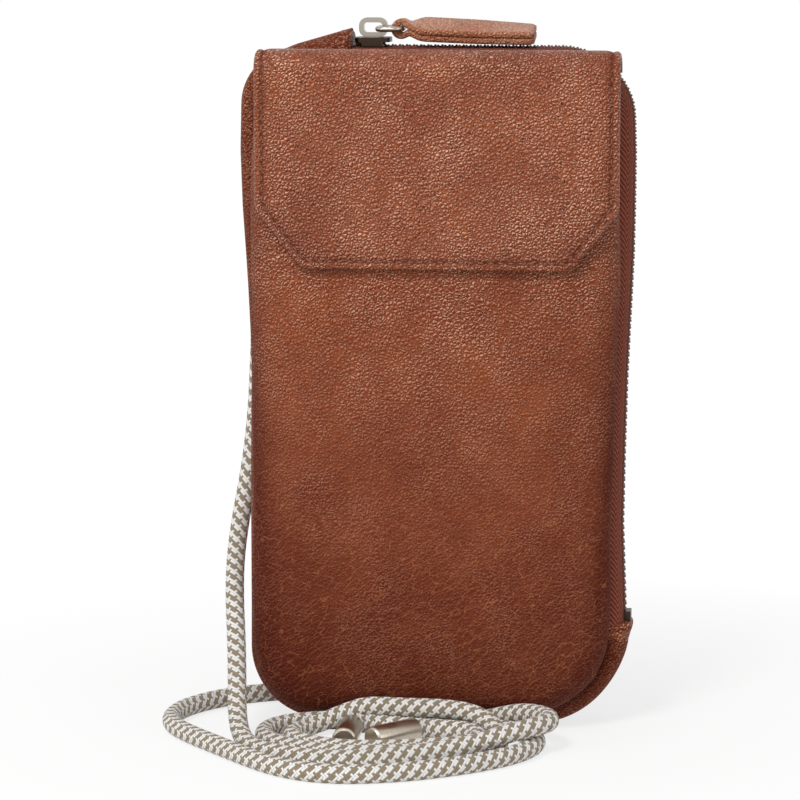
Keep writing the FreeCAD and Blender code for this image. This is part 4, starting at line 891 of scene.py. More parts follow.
MOUTH_HEIGHT = 164.0
PANEL_CROWN = -0.25
panel = panel_sheet("front_panel_leather", PANEL_PROFILE, creased_hide, PANEL_CROWN, wander=seam_wander)
cut_above(panel, MOUTH_HEIGHT)
values = np.array([item.value for item in panel.data.attributes["burnish_and_shade"].data])
places = np.array([tuple(vertex.co) for vertex in panel.data.vertices]) / MM
beside, above = places[:, 0], places[:, 2]
# painted shade: darker towards the bottom, and lower down towards the left and right sides
values += 0.9 * fade(above, 150, 0) ** 1.3
values += 0.3 * fade(beside, -12, -50) ** 1.5 * fade(above, 140, 80)
values += 0.2 * fade(beside, 18, 50) ** 1.5 * fade(above, 125, 85)
panel.data.attributes["burnish_and_shade"].data.foreach_set("value", np.clip(values, 0, 1).astype(np.float32))
print("front panel faces:", len(panel.data.polygons))

# %% [markdown]
# Foam pushes the leather out between its seams. A cloth simulation does the same: the seam and the
# mouth are pinned, a little pressure acts from behind, and after twenty steps the panel has found a
# full, slightly uneven shape. How far a point may move is capped, so the panel stays in its solid's
# space and behind the closed flap.

# %% Padding by simulation
PUFF_STEPS = 20
PUFF_CAP = 0.8
PUFF_PRESSURE = 2.0
SEWN_BEHIND, SEWN_AT_MOUTH = -11.0, 1
FLAP_REST, FLAP_COVERS = -17.7, 118
PANEL_THICK = 1.2


def puff(piece, pinned, pressure, cap):
    """Blow a pinned sheet up gently with a cloth simulation and keep the result, capped in mm."""
    rest = np.array([tuple(vertex.co) for vertex in piece.data.vertices])
    group = piece.vertex_groups.new(name="sewn")
    group.add([int(index) for index in np.flatnonzero(pinned)], 1.0, "REPLACE")
    cloth = piece.modifiers.new("padding", "CLOTH")
    cloth.settings.quality = 5
    cloth.settings.mass = 0.3
    cloth.settings.tension_stiffness = 40
    cloth.settings.compression_stiffness = 40
    cloth.settings.shear_stiffness = 20
    cloth.settings.bending_stiffness = 8
    cloth.settings.use_pressure = True
    cloth.settings.uniform_pressure_force = pressure
    cloth.settings.vertex_group_mass = group.name
    cloth.settings.effector_weights.gravity = 0
    for moment in range(1, PUFF_STEPS + 1):
        scene.frame_set(moment)
    settled = piece.evaluated_get(bpy.context.evaluated_depsgraph_get()).to_mesh()
    moved = np.array([tuple(vertex.co) for vertex in settled.vertices]) - rest
    piece.modifiers.remove(cloth)
    scene.frame_set(1)
    reach = np.linalg.norm(moved, axis=1)
    moved *= np.minimum(1.0, cap * MM / np.maximum(reach, 1e-9))[:, None]
    piece.data.vertices.foreach_set("co", (rest + moved).astype(np.float32).ravel())
    piece.data.update()
    return reach / MM


sewn = (places[:, 1] > SEWN_BEHIND) | (places[:, 2] > MOUTH_HEIGHT - SEWN_AT_MOUTH)
reach = puff(panel, sewn, PUFF_PRESSURE, PUFF_CAP)
for vertex in panel.data.vertices:
    if vertex.co.z > FLAP_COVERS * MM:
        vertex.co.y = max(vertex.co.y, FLAP_REST * MM)
thicken(panel, PANEL_THICK)
dress(panel, "pouch", "leather", "front_panel")
print("foam pushes the leather out by at most", round(float(reach.max()), 2), "mm, kept below", PUFF_CAP)

# %% [markdown]
# The back panel is the same kind of piece, but flatter, because it lies against the body.

# %% Back panel
BACK_PROFILE = (
    # inset from the outline, y, burnish
    (4.9, 9.0, 0.9), (4.0, 9.1, 0.6), (3.4, 9.6, 0.4), (3.3, 10.2, 0.3), (3.6, 11.0, 0.3), (4.4, 11.8, 0.25),
    (5.9, 12.3, 0.18), (8.5, 12.45, 0.1), (12.8, 12.45, 0.0),
)
back = panel_sheet("back_panel_leather", BACK_PROFILE, pebbled_hide, 0.0, facing_back=True)
thicken(back, PANEL_THICK)
dress(back, "pouch", "leather", "back_panel")
print("back panel faces:", len(back.data.polygons))

# %% [markdown]
# Inside, the pouch is lined with brown twill, and a thin board covered with the same cloth divides
# the zipped compartment from the front pocket. The foam between leather and lining is never seen,
# but it fills the panel. Twill is drawn as fine slanted ribs.

# %% Twill and foam
TWILL_RIB = 0.5
FOAM_CELLS = 900.0
twill, tree = start_finish("cotton_twill_lining")
spot = add(tree, "ShaderNodeTexCoord")
slanted = add(tree, "ShaderNodeMapping", {0: spot.outputs["Object"], 2: (0.0, math.radians(45), 0.0),
                                          3: (TWILL_RIB * MM,) * 3}, vector_type="TEXTURE")
ribs = add(tree, "ShaderNodeTexWave", {0: slanted.outputs[0], "Scale": 1.0, "Distortion": 0.6, "Detail": 1.0})
cloth_tone = add(tree, "ShaderNodeMix", {0: ribs.outputs["Fac"], 6: linear("4a3026"), 7: linear("6e4a3a")},
                 data_type="RGBA")
relief = add(tree, "ShaderNodeBump", {"Strength": 0.4, "Distance": 0.1 * MM, "Height": ribs.outputs["Fac"]})
# Woven cotton: matt, with a faint nap.
woven = add(tree, "ShaderNodeBsdfPrincipled", {
    "Base Color": cloth_tone.outputs[2], "Roughness": 0.85, "IOR": 1.5, "Sheen Weight": 0.2,
    "Normal": relief.outputs[0],
})
add(tree, "ShaderNodeOutputMaterial", {"Surface": woven.outputs[0]})

foam, tree = start_finish("polyurethane_foam")
# The scale counts cells across the piece.
bubbles = add(tree, "ShaderNodeTexVoronoi", {"Scale": FOAM_CELLS})
foam_tone = add(tree, "ShaderNodeMix", {0: bubbles.outputs["Distance"], 6: linear("cfc8ba"), 7: linear("efe9dc")},
                data_type="RGBA")
# Open-cell foam: dull and pale, with its cells as specks.
cells = add(tree, "ShaderNodeBsdfPrincipled", {"Base Color": foam_tone.outputs[2], "Roughness": 0.95, "IOR": 1.5})
add(tree, "ShaderNodeOutputMaterial", {"Surface": cells.outputs[0]})
print("twill ribs in mm:", TWILL_RIB)

# %% Lining, divider and foam
INSIDE_THICK = 0.4
# profiles as before: inset from the outline, y, burnish
POCKET_FOAM = ((10.6, -14.9, 0.0), (10.3, -15.3, 0.0), (10.6, -15.7, 0.0), (12.0, -15.8, 0.0))
POCKET_CLOTH = ((9.6, -14.35, 0.0), (9.4, -14.55, 0.0), (9.6, -14.75, 0.0), (12.0, -14.8, 0.0))
DIVIDER = ((5.9, -7.85, 0.0), (5.4, -8.0, 0.0), (5.3, -8.4, 0.0), (5.4, -8.8, 0.0), (5.9, -8.95, 0.0),
           (12.0, -8.95, 0.0))
INSIDE_PIECES = (
    # name, profile, finish, slot, solid, where it is cut off
    ("pocket_foam", POCKET_FOAM, foam, "foam", "pocket_padding", MOUTH_HEIGHT - 0.6),
    ("pocket_twill", POCKET_CLOTH, twill, "lining", "pocket_lining", MOUTH_HEIGHT - 0.2),
    ("divider_twill", DIVIDER, twill, "lining", "divider_panel", None),
)
for name, profile, finish, slot, solid, height in INSIDE_PIECES:
    piece = panel_sheet(name, profile, finish, 0.0)
    if height:
        cut_above(piece, height)
    thicken(piece, INSIDE_THICK)
    dress(piece, "pouch", slot, solid)
print("inside pieces:", len(INSIDE_PIECES))

# %% [markdown]
# The zip is let into the gusset's place along the top and the right side. Its two tapes are woven
# polyester in a herringbone, dyed to match the leather. The weave is drawn from the tape's own
# coordinates, millimetres along and across, as steep ribs that turn back every 2.4 millimetres.

# %% Woven zip tape
RIB = 1.5
RIB_TURN = 2.4
RIB_SLOPE = 2.2
TAPE_THICK = 0.8
tape_cloth, tree = start_finish("woven_polyester_herringbone")
spot = add(tree, "ShaderNodeUVMap", uv_map="weave")
parts = add(tree, "ShaderNodeSeparateXYZ", {0: spot.outputs[0]})
fold = add(tree, "ShaderNodeMath", {0: parts.outputs[1], 1: RIB_TURN}, operation="PINGPONG")
slant = add(tree, "ShaderNodeMath", {0: fold.outputs[0], 1: RIB_SLOPE, 2: parts.outputs[0]},
            operation="MULTIPLY_ADD")
rib = add(tree, "ShaderNodeMath", {0: slant.outputs[0], 1: RIB / 2}, operation="PINGPONG")
ridge = add(tree, "ShaderNodeMapRange", {0: rib.outputs[0], 1: 0.0, 2: RIB / 2, 3: 0.0, 4: 1.0})
lint = add(tree, "ShaderNodeTexNoise", {0: spot.outputs[0], "Scale": 1.8, "Detail": 3.0})
dye = add(tree, "ShaderNodeMix", {0: ridge.outputs[0], 6: linear("561d10"), 7: linear("b0624a")}, data_type="RGBA")
wear_and_painted_highlight = add(tree, "ShaderNodeMix", {0: lint.outputs[0], 6: linear("8f8079"), 7: (1, 1, 1, 1)}, data_type="RGBA")
tinted = add(tree, "ShaderNodeMix", {0: 0.6, 6: dye.outputs[2], 7: wear_and_painted_highlight.outputs[2]},
             data_type="RGBA", blend_type="MULTIPLY")
relief = add(tree, "ShaderNodeBump", {"Strength": 0.8, "Distance": 0.3 * MM, "Height": ridge.outputs[0]})
# Spun polyester: matt, and almost without a shine of its own.
polyester = add(tree, "ShaderNodeBsdfPrincipled", {
    "Base Color": tinted.outputs[2], "Roughness": 0.85, "IOR": 1.55, "Specular IOR Level": 0.2,
    "Normal": relief.outputs[0],
})
add(tree, "ShaderNodeOutputMaterial", {"Surface": polyester.outputs[0]})

TAPE_DEPTHS = (0.85, 2.0, 3.2, 4.4, 5.6, 6.8, 7.8, 8.6, 9.0)
TAPE_HEM = 1.0
tape_run = np.linspace(ZIP_FOOT, ZIP_HEAD + TAPE_HEM, 170)
for side, depths in (("front", [-depth for depth in TAPE_DEPTHS]), ("back", TAPE_DEPTHS[::-1])):
    rows = np.array([outline(tape_run, band_inset(depth), depth) for depth in depths])
    weave = [(length, depth) for depth in depths for length in tape_run]
    tape = sheet_piece(f"zip_tape_{side}_cloth", rows.reshape(-1, 3), grid_faces(*rows.shape[:2]), tape_cloth,
                       places=weave)
    thicken(tape, TAPE_THICK)
    dress(tape, "pouch", "tape", f"zip_tape_{side}")
print("zip tape in mm:", round(ZIP_HEAD - ZIP_FOOT))

# %% [markdown]
# The teeth of a coil zip are loops of nylon wire sewn along each tape, and the two rows mesh with
# half a step between them. Each loop is a short bent tube that rises from the tape, crosses to the
# middle and dips to meet its neighbours. A thin cord runs through all loops of a row, and the thread
# that sews the row down goes around it.

# %% Nylon and core cord
def flecked(name, flecks_across, detail, tones, surface):
    """A finish between two tones in flecks, counted across the piece; surface sets the shader's own sockets."""
    finish, tree = start_finish(name)
    # Such flecks are finer than a picture shows, and only keep the tone from being flat.
    flecks = add(tree, "ShaderNodeTexNoise", {"Scale": flecks_across, "Detail": detail})
    tone = add(tree, "ShaderNodeMix", {0: flecks.outputs[0], 6: linear(tones[0]), 7: linear(tones[1])},
               data_type="RGBA")
    skin = add(tree, "ShaderNodeBsdfPrincipled", {"Base Color": tone.outputs[2], **surface})
    add(tree, "ShaderNodeOutputMaterial", {"Surface": skin.outputs[0]})
    return finish


# Drawn nylon: smooth and slightly glossy, so that each loop has its own small highlight.
nylon = flecked("nylon_coil_dark", 900.0, 2.0, ("3c251d", "6b4a3e"), {"Roughness": 0.35, "IOR": 1.53})
# Spun polyester, dyed like the tape and as matt.
core_cord = flecked("polyester_core_cord", 1500.0, 2.0, ("5c2114", "a05840"),
                    {"Roughness": 0.85, "IOR": 1.55, "Specular IOR Level": 0.2})
print("zip finishes:", nylon.name, core_cord.name)

# %% Coil teeth
CORE_RADIUS = 0.36
CORE_SIDES = 8
CORE_OUT = 1.05
TOOTH_STEP = 1.88
TOOTH_RADIUS = 0.36
TOOTH_SIDES = 8
TOOTH_PATH = (
    # distance from the middle of the zip, height over the tape
    (1.9, -0.2), (1.95, 0.15), (1.6, 0.36), (0.9, 0.44), (0.2, 0.36), (-0.2, 0.1),
)
FIRST_TOOTH, LAST_TOOTH = 7.8, 0.8
FIRST_CORE, LAST_CORE = 7.0, 0.2
teeth_turns = 2 * math.pi * np.arange(TOOTH_SIDES) / TOOTH_SIDES


def teeth_row(name, sign, offset):
    """One row of loops; sign is -1 for the front tape and 1 for the back one."""
    lengths = np.arange(ZIP_FOOT + FIRST_TOOTH + offset, ZIP_HEAD - LAST_TOOTH, TOOTH_STEP)
    ahead = outline(lengths + 0.5, 0.0, 0.0) - outline(lengths - 0.5, 0.0, 0.0)
    ahead /= np.linalg.norm(ahead, axis=1)[:, None]
    spots = np.array([outline(lengths, -rise, sign * across) for across, rise in TOOTH_PATH])
    points = []
    faces = []
    for tooth in range(len(lengths)):
        base = len(points)
        path = spots[:, tooth]
        heading = np.gradient(path, axis=0)
        heading /= np.linalg.norm(heading, axis=1)[:, None]
        upward = np.cross(heading, ahead[tooth])
        for spot, rise in zip(path, upward):
            points += [spot + TOOTH_RADIUS * (math.cos(turn) * ahead[tooth] + math.sin(turn) * rise)
                       for turn in teeth_turns]
        faces += rod_faces(len(path), TOOTH_SIDES, base)
    return sheet_piece(name, points, faces, nylon), len(lengths)


core_run = np.linspace(ZIP_FOOT + FIRST_CORE, ZIP_HEAD - LAST_CORE, 150)
for side, sign, offset in (("front", -1, 0.0), ("back", 1, TOOTH_STEP / 2)):
    teeth, count = teeth_row(f"zip_teeth_{side}", sign, offset)
    dress(teeth, "pouch", "coil", f"zip_coil_{side}")
    core_line = outline(core_run, 0.0, sign * CORE_OUT) * MM
    core = tube(f"zip_core_{side}", core_line, CORE_RADIUS, CORE_SIDES, core_cord)
    dress(core, "pouch", "tape")
    print("teeth,", side, count)

# %% [markdown]
# Both ends of the zip are covered by a hemmed strip of leather sewn across it. A strip is drawn by
# its profile along the zip, swept across from the front seam to the back one, where it tucks down.

# %% Leather tabs over the zip ends
START_HALF, END_HALF = 7.3, 8.95
TAB_STEPS = np.linspace(1, -1, 25)
START_TAB = (
    # length along the outline, height
    (0.25, -0.6), (0.05, 1.6), (0.0, 3.4), (0.2, 4.1), (0.7, 4.45), (1.3, 4.4), (1.7, 4.15), (2.1, 4.4),
    (2.8, 4.5), (3.4, 4.2), (3.7, 3.4),
)
END_TAB = (
    (4.6, -0.6), (4.55, 1.0), (4.4, 1.8), (3.9, 2.35), (3.1, 2.4), (2.3, 2.2), (1.7, 1.75), (1.2, 1.8),
    (0.4, 1.6), (-0.4, 1.2), (-1.2, 0.9),
)
# the stitch groove of each tab is dark, partly burnish and partly painted shade
GROOVE_SPOT = 6
GROOVE_SHADE, TAB_DARK = 0.75, 0.12


def tab_point(length, height, half, depth):
    """A point of a tab; its height over the gusset fades out at the seams, half away from the middle."""
    tuck = 1 - (abs(depth) / half) ** 4
    return outline(np.array([length]), band_inset(depth) - height * tuck, depth)[0]


def tab_sheet(name, start, half, profile, solid):
    """A tab across the zip; its profile counts lengths from start."""
    rows = np.array([
        [tab_point(start + along, height, half, depth) for along, height in profile] for depth in half * TAB_STEPS
    ])
    groove = [GROOVE_SHADE if index == GROOVE_SPOT else TAB_DARK for index in range(len(profile))]
    tab = sheet_piece(name, rows.reshape(-1, 3), grid_faces(*rows.shape[:2]), rolled_hide, groove * len(rows))
    tab.modifiers.new("soft", "SUBSURF").levels = 1
    dress(tab, "pouch", "leather", solid)


tab_sheet("zip_start_tab_leather", ZIP_HEAD, START_HALF, START_TAB, "zip_start_tab")
tab_sheet("zip_end_tab_leather", ZIP_FOOT, END_HALF, END_TAB[::-1], "zip_end_tab")
print("tabs in mm:", START_TAB[-1][0], END_TAB[0][0])

# %% [markdown]
# The flap is one piece of leather turned in around a stiff board. Its edge is a rolled fold, and the
# row of stitches that holds the fold sits in a shallow groove two millimetres in. At the top the
# same leather bends over in half a turn and goes down behind the pocket, where it is sewn in. So the
# flap is one sheet: open rings for the rolled edge on three sides, a patch for the face, and rows
# around the bend.

# %% Flap outline
FLAP_MIDDLE, FLAP_HALF = 1.4, 48.2
FLAP_LEFT, FLAP_RIGHT = FLAP_MIDDLE - FLAP_HALF, FLAP_MIDDLE + FLAP_HALF
FLAP_TOP = 176.7
FLAP_BOTTOM = 125.0
FLAP_CUT, FLAP_CUT_HIGH = 12.5, 16.0
FLAP_SHOULDER = FLAP_BOTTOM + FLAP_CUT_HIGH
FLAP_STOPS = ((FLAP_LEFT, FLAP_TOP), (FLAP_LEFT, FLAP_SHOULDER), (FLAP_LEFT + FLAP_CUT, FLAP_BOTTOM),
              (FLAP_RIGHT - FLAP_CUT, FLAP_BOTTOM), (FLAP_RIGHT, FLAP_SHOULDER), (FLAP_RIGHT, FLAP_TOP))
FLAP_CORNER = 5.0
LEAST_CORNER = 1.2
CORNER_STEPS = 10
SIDE_STEPS = (18, 10, 36, 10, 18)


def flap_outline(inset):
    """Points around the flap's three open sides, moved in by inset, as rows of x and z."""
    lines = []
    for start, end in zip(FLAP_STOPS, FLAP_STOPS[1:]):
        heading = np.subtract(end, start) / np.linalg.norm(np.subtract(end, start))
        lines.append((np.array(start) + inset * np.array((-heading[1], heading[0])), heading))
    radius = max(FLAP_CORNER - inset, LEAST_CORNER)
    starts = [np.array((lines[0][0][0], FLAP_TOP))]
    ends = []
    arcs = []
    for (spot, heading), (next_spot, next_heading) in zip(lines, lines[1:]):
        reach = np.linalg.solve(np.stack([heading, -next_heading], axis=1), next_spot - spot)[0]
        corner = spot + reach * heading
        turn = math.acos(np.clip(heading @ next_heading, -1, 1))
        tangent = corner - radius * math.tan(turn / 2) * heading
        centre = tangent + radius * np.array((-heading[1], heading[0]))
        swing = tangent - centre
        angles = np.linspace(0, turn, CORNER_STEPS + 1)
        arcs.append(np.stack([centre[0] + swing[0] * np.cos(angles) - swing[1] * np.sin(angles),
                              centre[1] + swing[0] * np.sin(angles) + swing[1] * np.cos(angles)], axis=1))
        ends.append(arcs[-1][0])
        starts.append(arcs[-1][-1])
    ends.append(np.array((lines[-1][0][0], FLAP_TOP)))
    points = []
    for index, steps in enumerate(SIDE_STEPS):
        points += list(starts[index] + (ends[index] - starts[index]) * np.linspace(0, 1, steps + 1)[:-1, None])
        points += list(arcs[index][:-1]) if index < len(arcs) else [ends[-1]]
    return np.array(points)


RING_SIZE = len(flap_outline(0.0))
LEFT_COUNT = SIDE_STEPS[0] + CORNER_STEPS + SIDE_STEPS[1] + CORNER_STEPS // 2
print("points round the flap:", RING_SIZE)

# %% [markdown]
# Leather and lining of the flap are built alike, and only the leather has the end that is sewn in.
# Its face is painted darker in broad upright bands, painted shade as light would fall on a gently rippled face,
# which the burnish value draws here.

# %% Flap sheets, from the rolled edge to the sewn end
HINGE_Y = -15.0
# painted shade in broad upright bands on the flap's face
BAND_MIDDLE, BAND_WIDTH, BAND_PAINTED_SHADE = -2.0, 36.0, 0.22
BEND_STEPS = 20
SEWN_HALF = 29.0
SEWN_LENGTH = 8.0
SEWN_DARK = 0.2


def flap_sheet(profile, face_depth, swell, leg):
    """A sheet with the flap's outline that bends over the hinge line; leg adds the end that is sewn in."""
    points = [(x, depth, z) for inset, depth, _ in profile for x, z in flap_outline(inset)]
    burnish_and_shade = [dark for _, _, dark in profile for _ in range(RING_SIZE)]
    faces = grid_faces(len(profile), RING_SIZE)
    last = (len(profile) - 1) * RING_SIZE
    left = last + np.arange(LEFT_COUNT + 1)
    right = last + RING_SIZE - 1 - np.arange(LEFT_COUNT + 1)
    bottom = np.arange(left[-1], right[-1] + 1)
    spots = np.array(points)
    top = np.linspace(spots[left[0]], spots[right[0]], len(bottom))
    patch = patch_points(spots[left], spots[right], top, spots[bottom])
    index = np.zeros(patch.shape[:2], dtype=int)
    for row in range(LEFT_COUNT):
        for column in range(1, len(bottom) - 1):
            bow = math.sin(math.pi * column / (len(bottom) - 1)) * math.sin(math.pi * row / LEFT_COUNT)
            index[row, column] = len(points)
            points.append((patch[row, column, 0], face_depth + swell * bow, patch[row, column, 2]))
            shade = 0.5 + 0.5 * math.cos(2 * math.pi * (patch[row, column, 0] - BAND_MIDDLE) / BAND_WIDTH)
            burnish_and_shade.append(profile[-1][2] + BAND_PAINTED_SHADE * (1 - shade) * bow)
    index[:, 0], index[:, -1], index[-1] = left, right, bottom
    for row in range(LEFT_COUNT):
        faces += [(index[row, k], index[row + 1, k], index[row + 1, k + 1], index[row, k + 1])
                  for k in range(len(bottom) - 1)]
    rims = np.arange(len(profile) - 1) * RING_SIZE
    line = [*rims, *index[0], *(rims[::-1] + RING_SIZE - 1)]
    for step in range(1, BEND_STEPS + 1):
        turn = math.pi * step / BEND_STEPS
        bent = []
        for spot in line:
            x, y, z = points[spot]
            radius = math.hypot(y - HINGE_Y, z - FLAP_TOP)
            bent.append(len(points))
            points.append((x, HINGE_Y - radius * math.cos(turn), FLAP_TOP + radius * math.sin(turn)))
            burnish_and_shade.append(burnish_and_shade[spot])
        faces += [(line[k], line[k + 1], bent[k + 1], bent[k]) for k in range(len(line) - 1)]
        line = bent
    if leg:
        sewn = [spot for spot in line if abs(points[spot][0]) < SEWN_HALF]
        hem = list(range(len(points), len(points) + len(sewn)))
        points += [(points[spot][0], points[spot][1], FLAP_TOP - SEWN_LENGTH) for spot in sewn]
        burnish_and_shade += [SEWN_DARK] * len(sewn)
        faces += [(sewn[k], sewn[k + 1], hem[k + 1], hem[k]) for k in range(len(sewn) - 1)]
    return points, faces, burnish_and_shade


FLAP_PROFILE = (
    # inset, y, burnish and painted shade; the stitch groove is dark, partly burnish and partly painted shade
    (1.4, -18.45, 0.5), (0.5, -18.5, 0.5), (0.1, -18.9, 0.3), (0.0, -19.5, 0.1), (0.12, -20.1, 0.0),
    (0.45, -20.55, 0.0), (0.9, -20.8, 0.0), (1.45, -20.8, 0.1), (1.85, -20.62, 0.7), (2.15, -20.5, 0.95),
    (2.5, -20.62, 0.75), (3.0, -20.82, 0.45), (4.0, -20.98, 0.2), (5.6, -21.0, 0.0),
)
LINING_PROFILE = ((1.3, -18.55, 0.0), (1.0, -18.3, 0.0), (1.1, -18.05, 0.0), (1.6, -17.95, 0.0),
                  (4.0, -17.92, 0.0))
FLAP_SWELL = -0.25
points, faces, burnish_and_shade = flap_sheet(FLAP_PROFILE, FLAP_PROFILE[-1][1], FLAP_SWELL, leg=True)
flap = sheet_piece("flap_leather", points, faces, pebbled_hide, burnish_and_shade)
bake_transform(flap)
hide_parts("flap_outer", "flap_fold")
points, faces, burnish_and_shade = flap_sheet(LINING_PROFILE, LINING_PROFILE[-1][1], 0.0, leg=False)
flap_cloth = sheet_piece("flap_twill", points, faces, twill, burnish_and_shade)
flap_cloth.data.flip_normals()
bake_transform(flap_cloth)
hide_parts("flap_lining")
print("flap faces:", len(flap.data.polygons), "lining faces:", len(flap_cloth.data.polygons))

# %% [markdown]
# Stitches are what tell the eye that leather was sewn and not moulded. Each one is a short piece of
# thick thread that comes up from one hole and goes down into the next, so it is drawn as a small
# bead, longer than wide and half sunk, every 2.65 millimetres along the groove.

# %% Stitches
# Waxed thread: a little glossier than the leather, so that each stitch catches the light.
thread = flecked("waxed_polyester_thread", 2500.0, 1.0, ("54270f", "8f5735"), {"Roughness": 0.4, "IOR": 1.5})

STITCH_STEP = 2.65
STITCH_HALF = 0.8
STITCH_RADIUS = 0.3
BEAD_RINGS = np.radians((-70, -35, 0, 35, 70))
BEAD_TURNS = 2 * math.pi * np.arange(8) / 8


def stitch_row(name, path, outward, body, step=STITCH_STEP):
    """Stitches along a path in mm; outward is the side that they stand up on."""
    path = np.asarray(path, dtype=float)
    along = np.concatenate([[0.0], np.cumsum(np.linalg.norm(np.diff(path, axis=0), axis=1))])
    count = max(int(along[-1] / step), 1)
    points = []
    faces = []
    for middle in (np.arange(count) + 0.5) * along[-1] / count:
        ends = [np.array([np.interp(middle + move, along, path[:, axis]) for axis in range(3)])
                for move in (-STITCH_HALF, STITCH_HALF)]
        heading = (ends[1] - ends[0]) / np.linalg.norm(ends[1] - ends[0])
        upward = np.asarray(outward, dtype=float) - heading * np.dot(outward, heading)
        upward /= np.linalg.norm(upward)
        aside = np.cross(heading, upward)
        centre = (ends[0] + ends[1]) / 2
        base = len(points)
        for lean in BEAD_RINGS:
            ring = centre + heading * STITCH_HALF * math.sin(lean)
            points += [ring + STITCH_RADIUS * math.cos(lean) * (math.cos(turn) * aside + math.sin(turn) * upward)
                       for turn in BEAD_TURNS]
        faces += rod_faces(len(BEAD_RINGS), len(BEAD_TURNS), base)
    row = sheet_piece(name, points, faces, thread)
    dress(row, body, "leather")


GROOVE_INSET, GROOVE_Y = 2.15, -20.55
groove_line = [(x, GROOVE_Y, z) for x, z in flap_outline(GROOVE_INSET)]
stitch_row("flap_stitches", groove_line, (0, -1, 0), "flap")
TAB_STITCH_STEP = 2.2
TAB_STITCH_PLACE = 1.7
TAB_SEAMS = (
    # name, where the tab starts, its half width, height of the thread, outward side
    ("start_tab_stitches", ZIP_HEAD, START_HALF, 4.2, (0, -0.3, 1)),
    ("end_tab_stitches", ZIP_FOOT, END_HALF, 1.65, (1, -0.3, 0)),
)
for name, start, half, height, outward in TAB_SEAMS:
    path = [tab_point(start + TAB_STITCH_PLACE, height, half, depth) for depth in half * TAB_STEPS[2:-2]]
    stitch_row(name, path, outward, "pouch", TAB_STITCH_STEP)
print("flap stitches every mm:", STITCH_STEP)

# %% [markdown]
# The slider is cast metal with a polished antique nickel plate, and a wire ring joins it to a puller
# of two layers of leather. The slider's solids are right as they are and only get rounded edges
# and the finish. Ring and puller are swept: the wire around a rounded rectangle, and the leather
# strip along a line that runs out, turns around the wire and comes back. A hanging puller is never
# quite level, so the strip is rolled a few degrees towards the front.

# %% Nickel plate
nickel, tree = start_finish("antique_nickel_plate")
wear = add(tree, "ShaderNodeTexNoise", {"Scale": 700.0, "Detail": 3.0})
plate_tone = add(tree, "ShaderNodeMix", {0: wear.outputs[0], 6: linear("857d72"), 7: linear("c6c0b5")},
                 data_type="RGBA")
plate_gloss = add(tree, "ShaderNodeMapRange", {0: wear.outputs[0], 1: 0.3, 2: 0.7, 3: 0.2, 4: 0.34})
# Polished plate worn by handling: clear reflections with a slightly warm grey tone.
plated = add(tree, "ShaderNodeBsdfPrincipled", {"Base Color": plate_tone.outputs[2], "Metallic": 1.0,
                                                "Roughness": plate_gloss.outputs[0]})
add(tree, "ShaderNodeOutputMaterial", {"Surface": plated.outputs[0]})

# The slider's body is darkened where no hand polishes it, so it hardly mirrors the room.
aged = flecked("antique_nickel_darkened", 500.0, 3.0, ("2e231d", "54463d"), {"Metallic": 1.0, "Roughness": 0.4})
print("plates:", nickel.name, aged.name)

# %% Pull ring
RING_BAR_X, PULLER_BAR_X, BAR_Z = -15.85, -9.65, 187.4
RING_HALF = 4.75
RING_CORNER = 2.0
WIRE_RADIUS = 0.75
WIRE_SIDES = 16
ring_line = []
for centre_x, centre_y, first in ((PULLER_BAR_X - RING_CORNER, RING_CORNER - RING_HALF, -90),
                                  (PULLER_BAR_X - RING_CORNER, RING_HALF - RING_CORNER, 0),
                                  (RING_BAR_X + RING_CORNER, RING_HALF - RING_CORNER, 90),
                                  (RING_BAR_X + RING_CORNER, RING_CORNER - RING_HALF, 180)):
    for turn in np.radians(first + np.linspace(0, 90, 9)):
        spot = (centre_x + RING_CORNER * math.cos(turn), centre_y + RING_CORNER * math.sin(turn), BAR_Z)
        ring_line.append(tuple(value * MM for value in spot))
ring = tube("pull_ring_wire", ring_line, WIRE_RADIUS, WIRE_SIDES, nickel, closed=True)
dress(ring, "pull_ring", "nickel", "pull_ring")
print("ring in mm:", round(PULLER_BAR_X - RING_BAR_X, 2), "by", 2 * RING_HALF)

# %% Leather puller
PULLER_END = 25.85
LAYER = 1.7
WRAP = 1.85
NECK_HALF, PULLER_HALF = 3.2, 5.5
NECK_END, TAPER_END = PULLER_BAR_X + 1.5, PULLER_BAR_X + 4.5
PULLER_ROLL = (
    # place along the puller, roll in degrees
    (PULLER_BAR_X + 1.0, 0.0), (PULLER_BAR_X + 6.0, 17.0), (PULLER_BAR_X + 20.0, 16.0), (PULLER_END, 10.0),
)
DROOP, DROOP_START = 1.5, 2.0
END_ROUND = 1.0
EDGE_WIDTH, EDGE_ROUND = 0.5, 0.6
LAYERS_APART, WRAP_END = 0.04, 2.2
strip_line = [(x, BAR_Z + LAYER / 2 + LAYERS_APART) for x in np.linspace(PULLER_END, PULLER_BAR_X + WRAP_END, 30)]
strip_line += [(PULLER_BAR_X + WRAP * math.cos(turn), BAR_Z + WRAP * math.sin(turn))
               for turn in np.radians(np.linspace(45, 315, 28))]
strip_line += [(x, BAR_Z - LAYER / 2 - LAYERS_APART) for x in np.linspace(PULLER_BAR_X + WRAP_END, PULLER_END, 30)]
strip_line = np.array(strip_line)
heading = np.gradient(strip_line, axis=0)
heading /= np.linalg.norm(heading, axis=1)[:, None]
STRIP_EDGE = np.radians(np.linspace(-90, 90, 7))
puller_points = []
puller_burnish = []
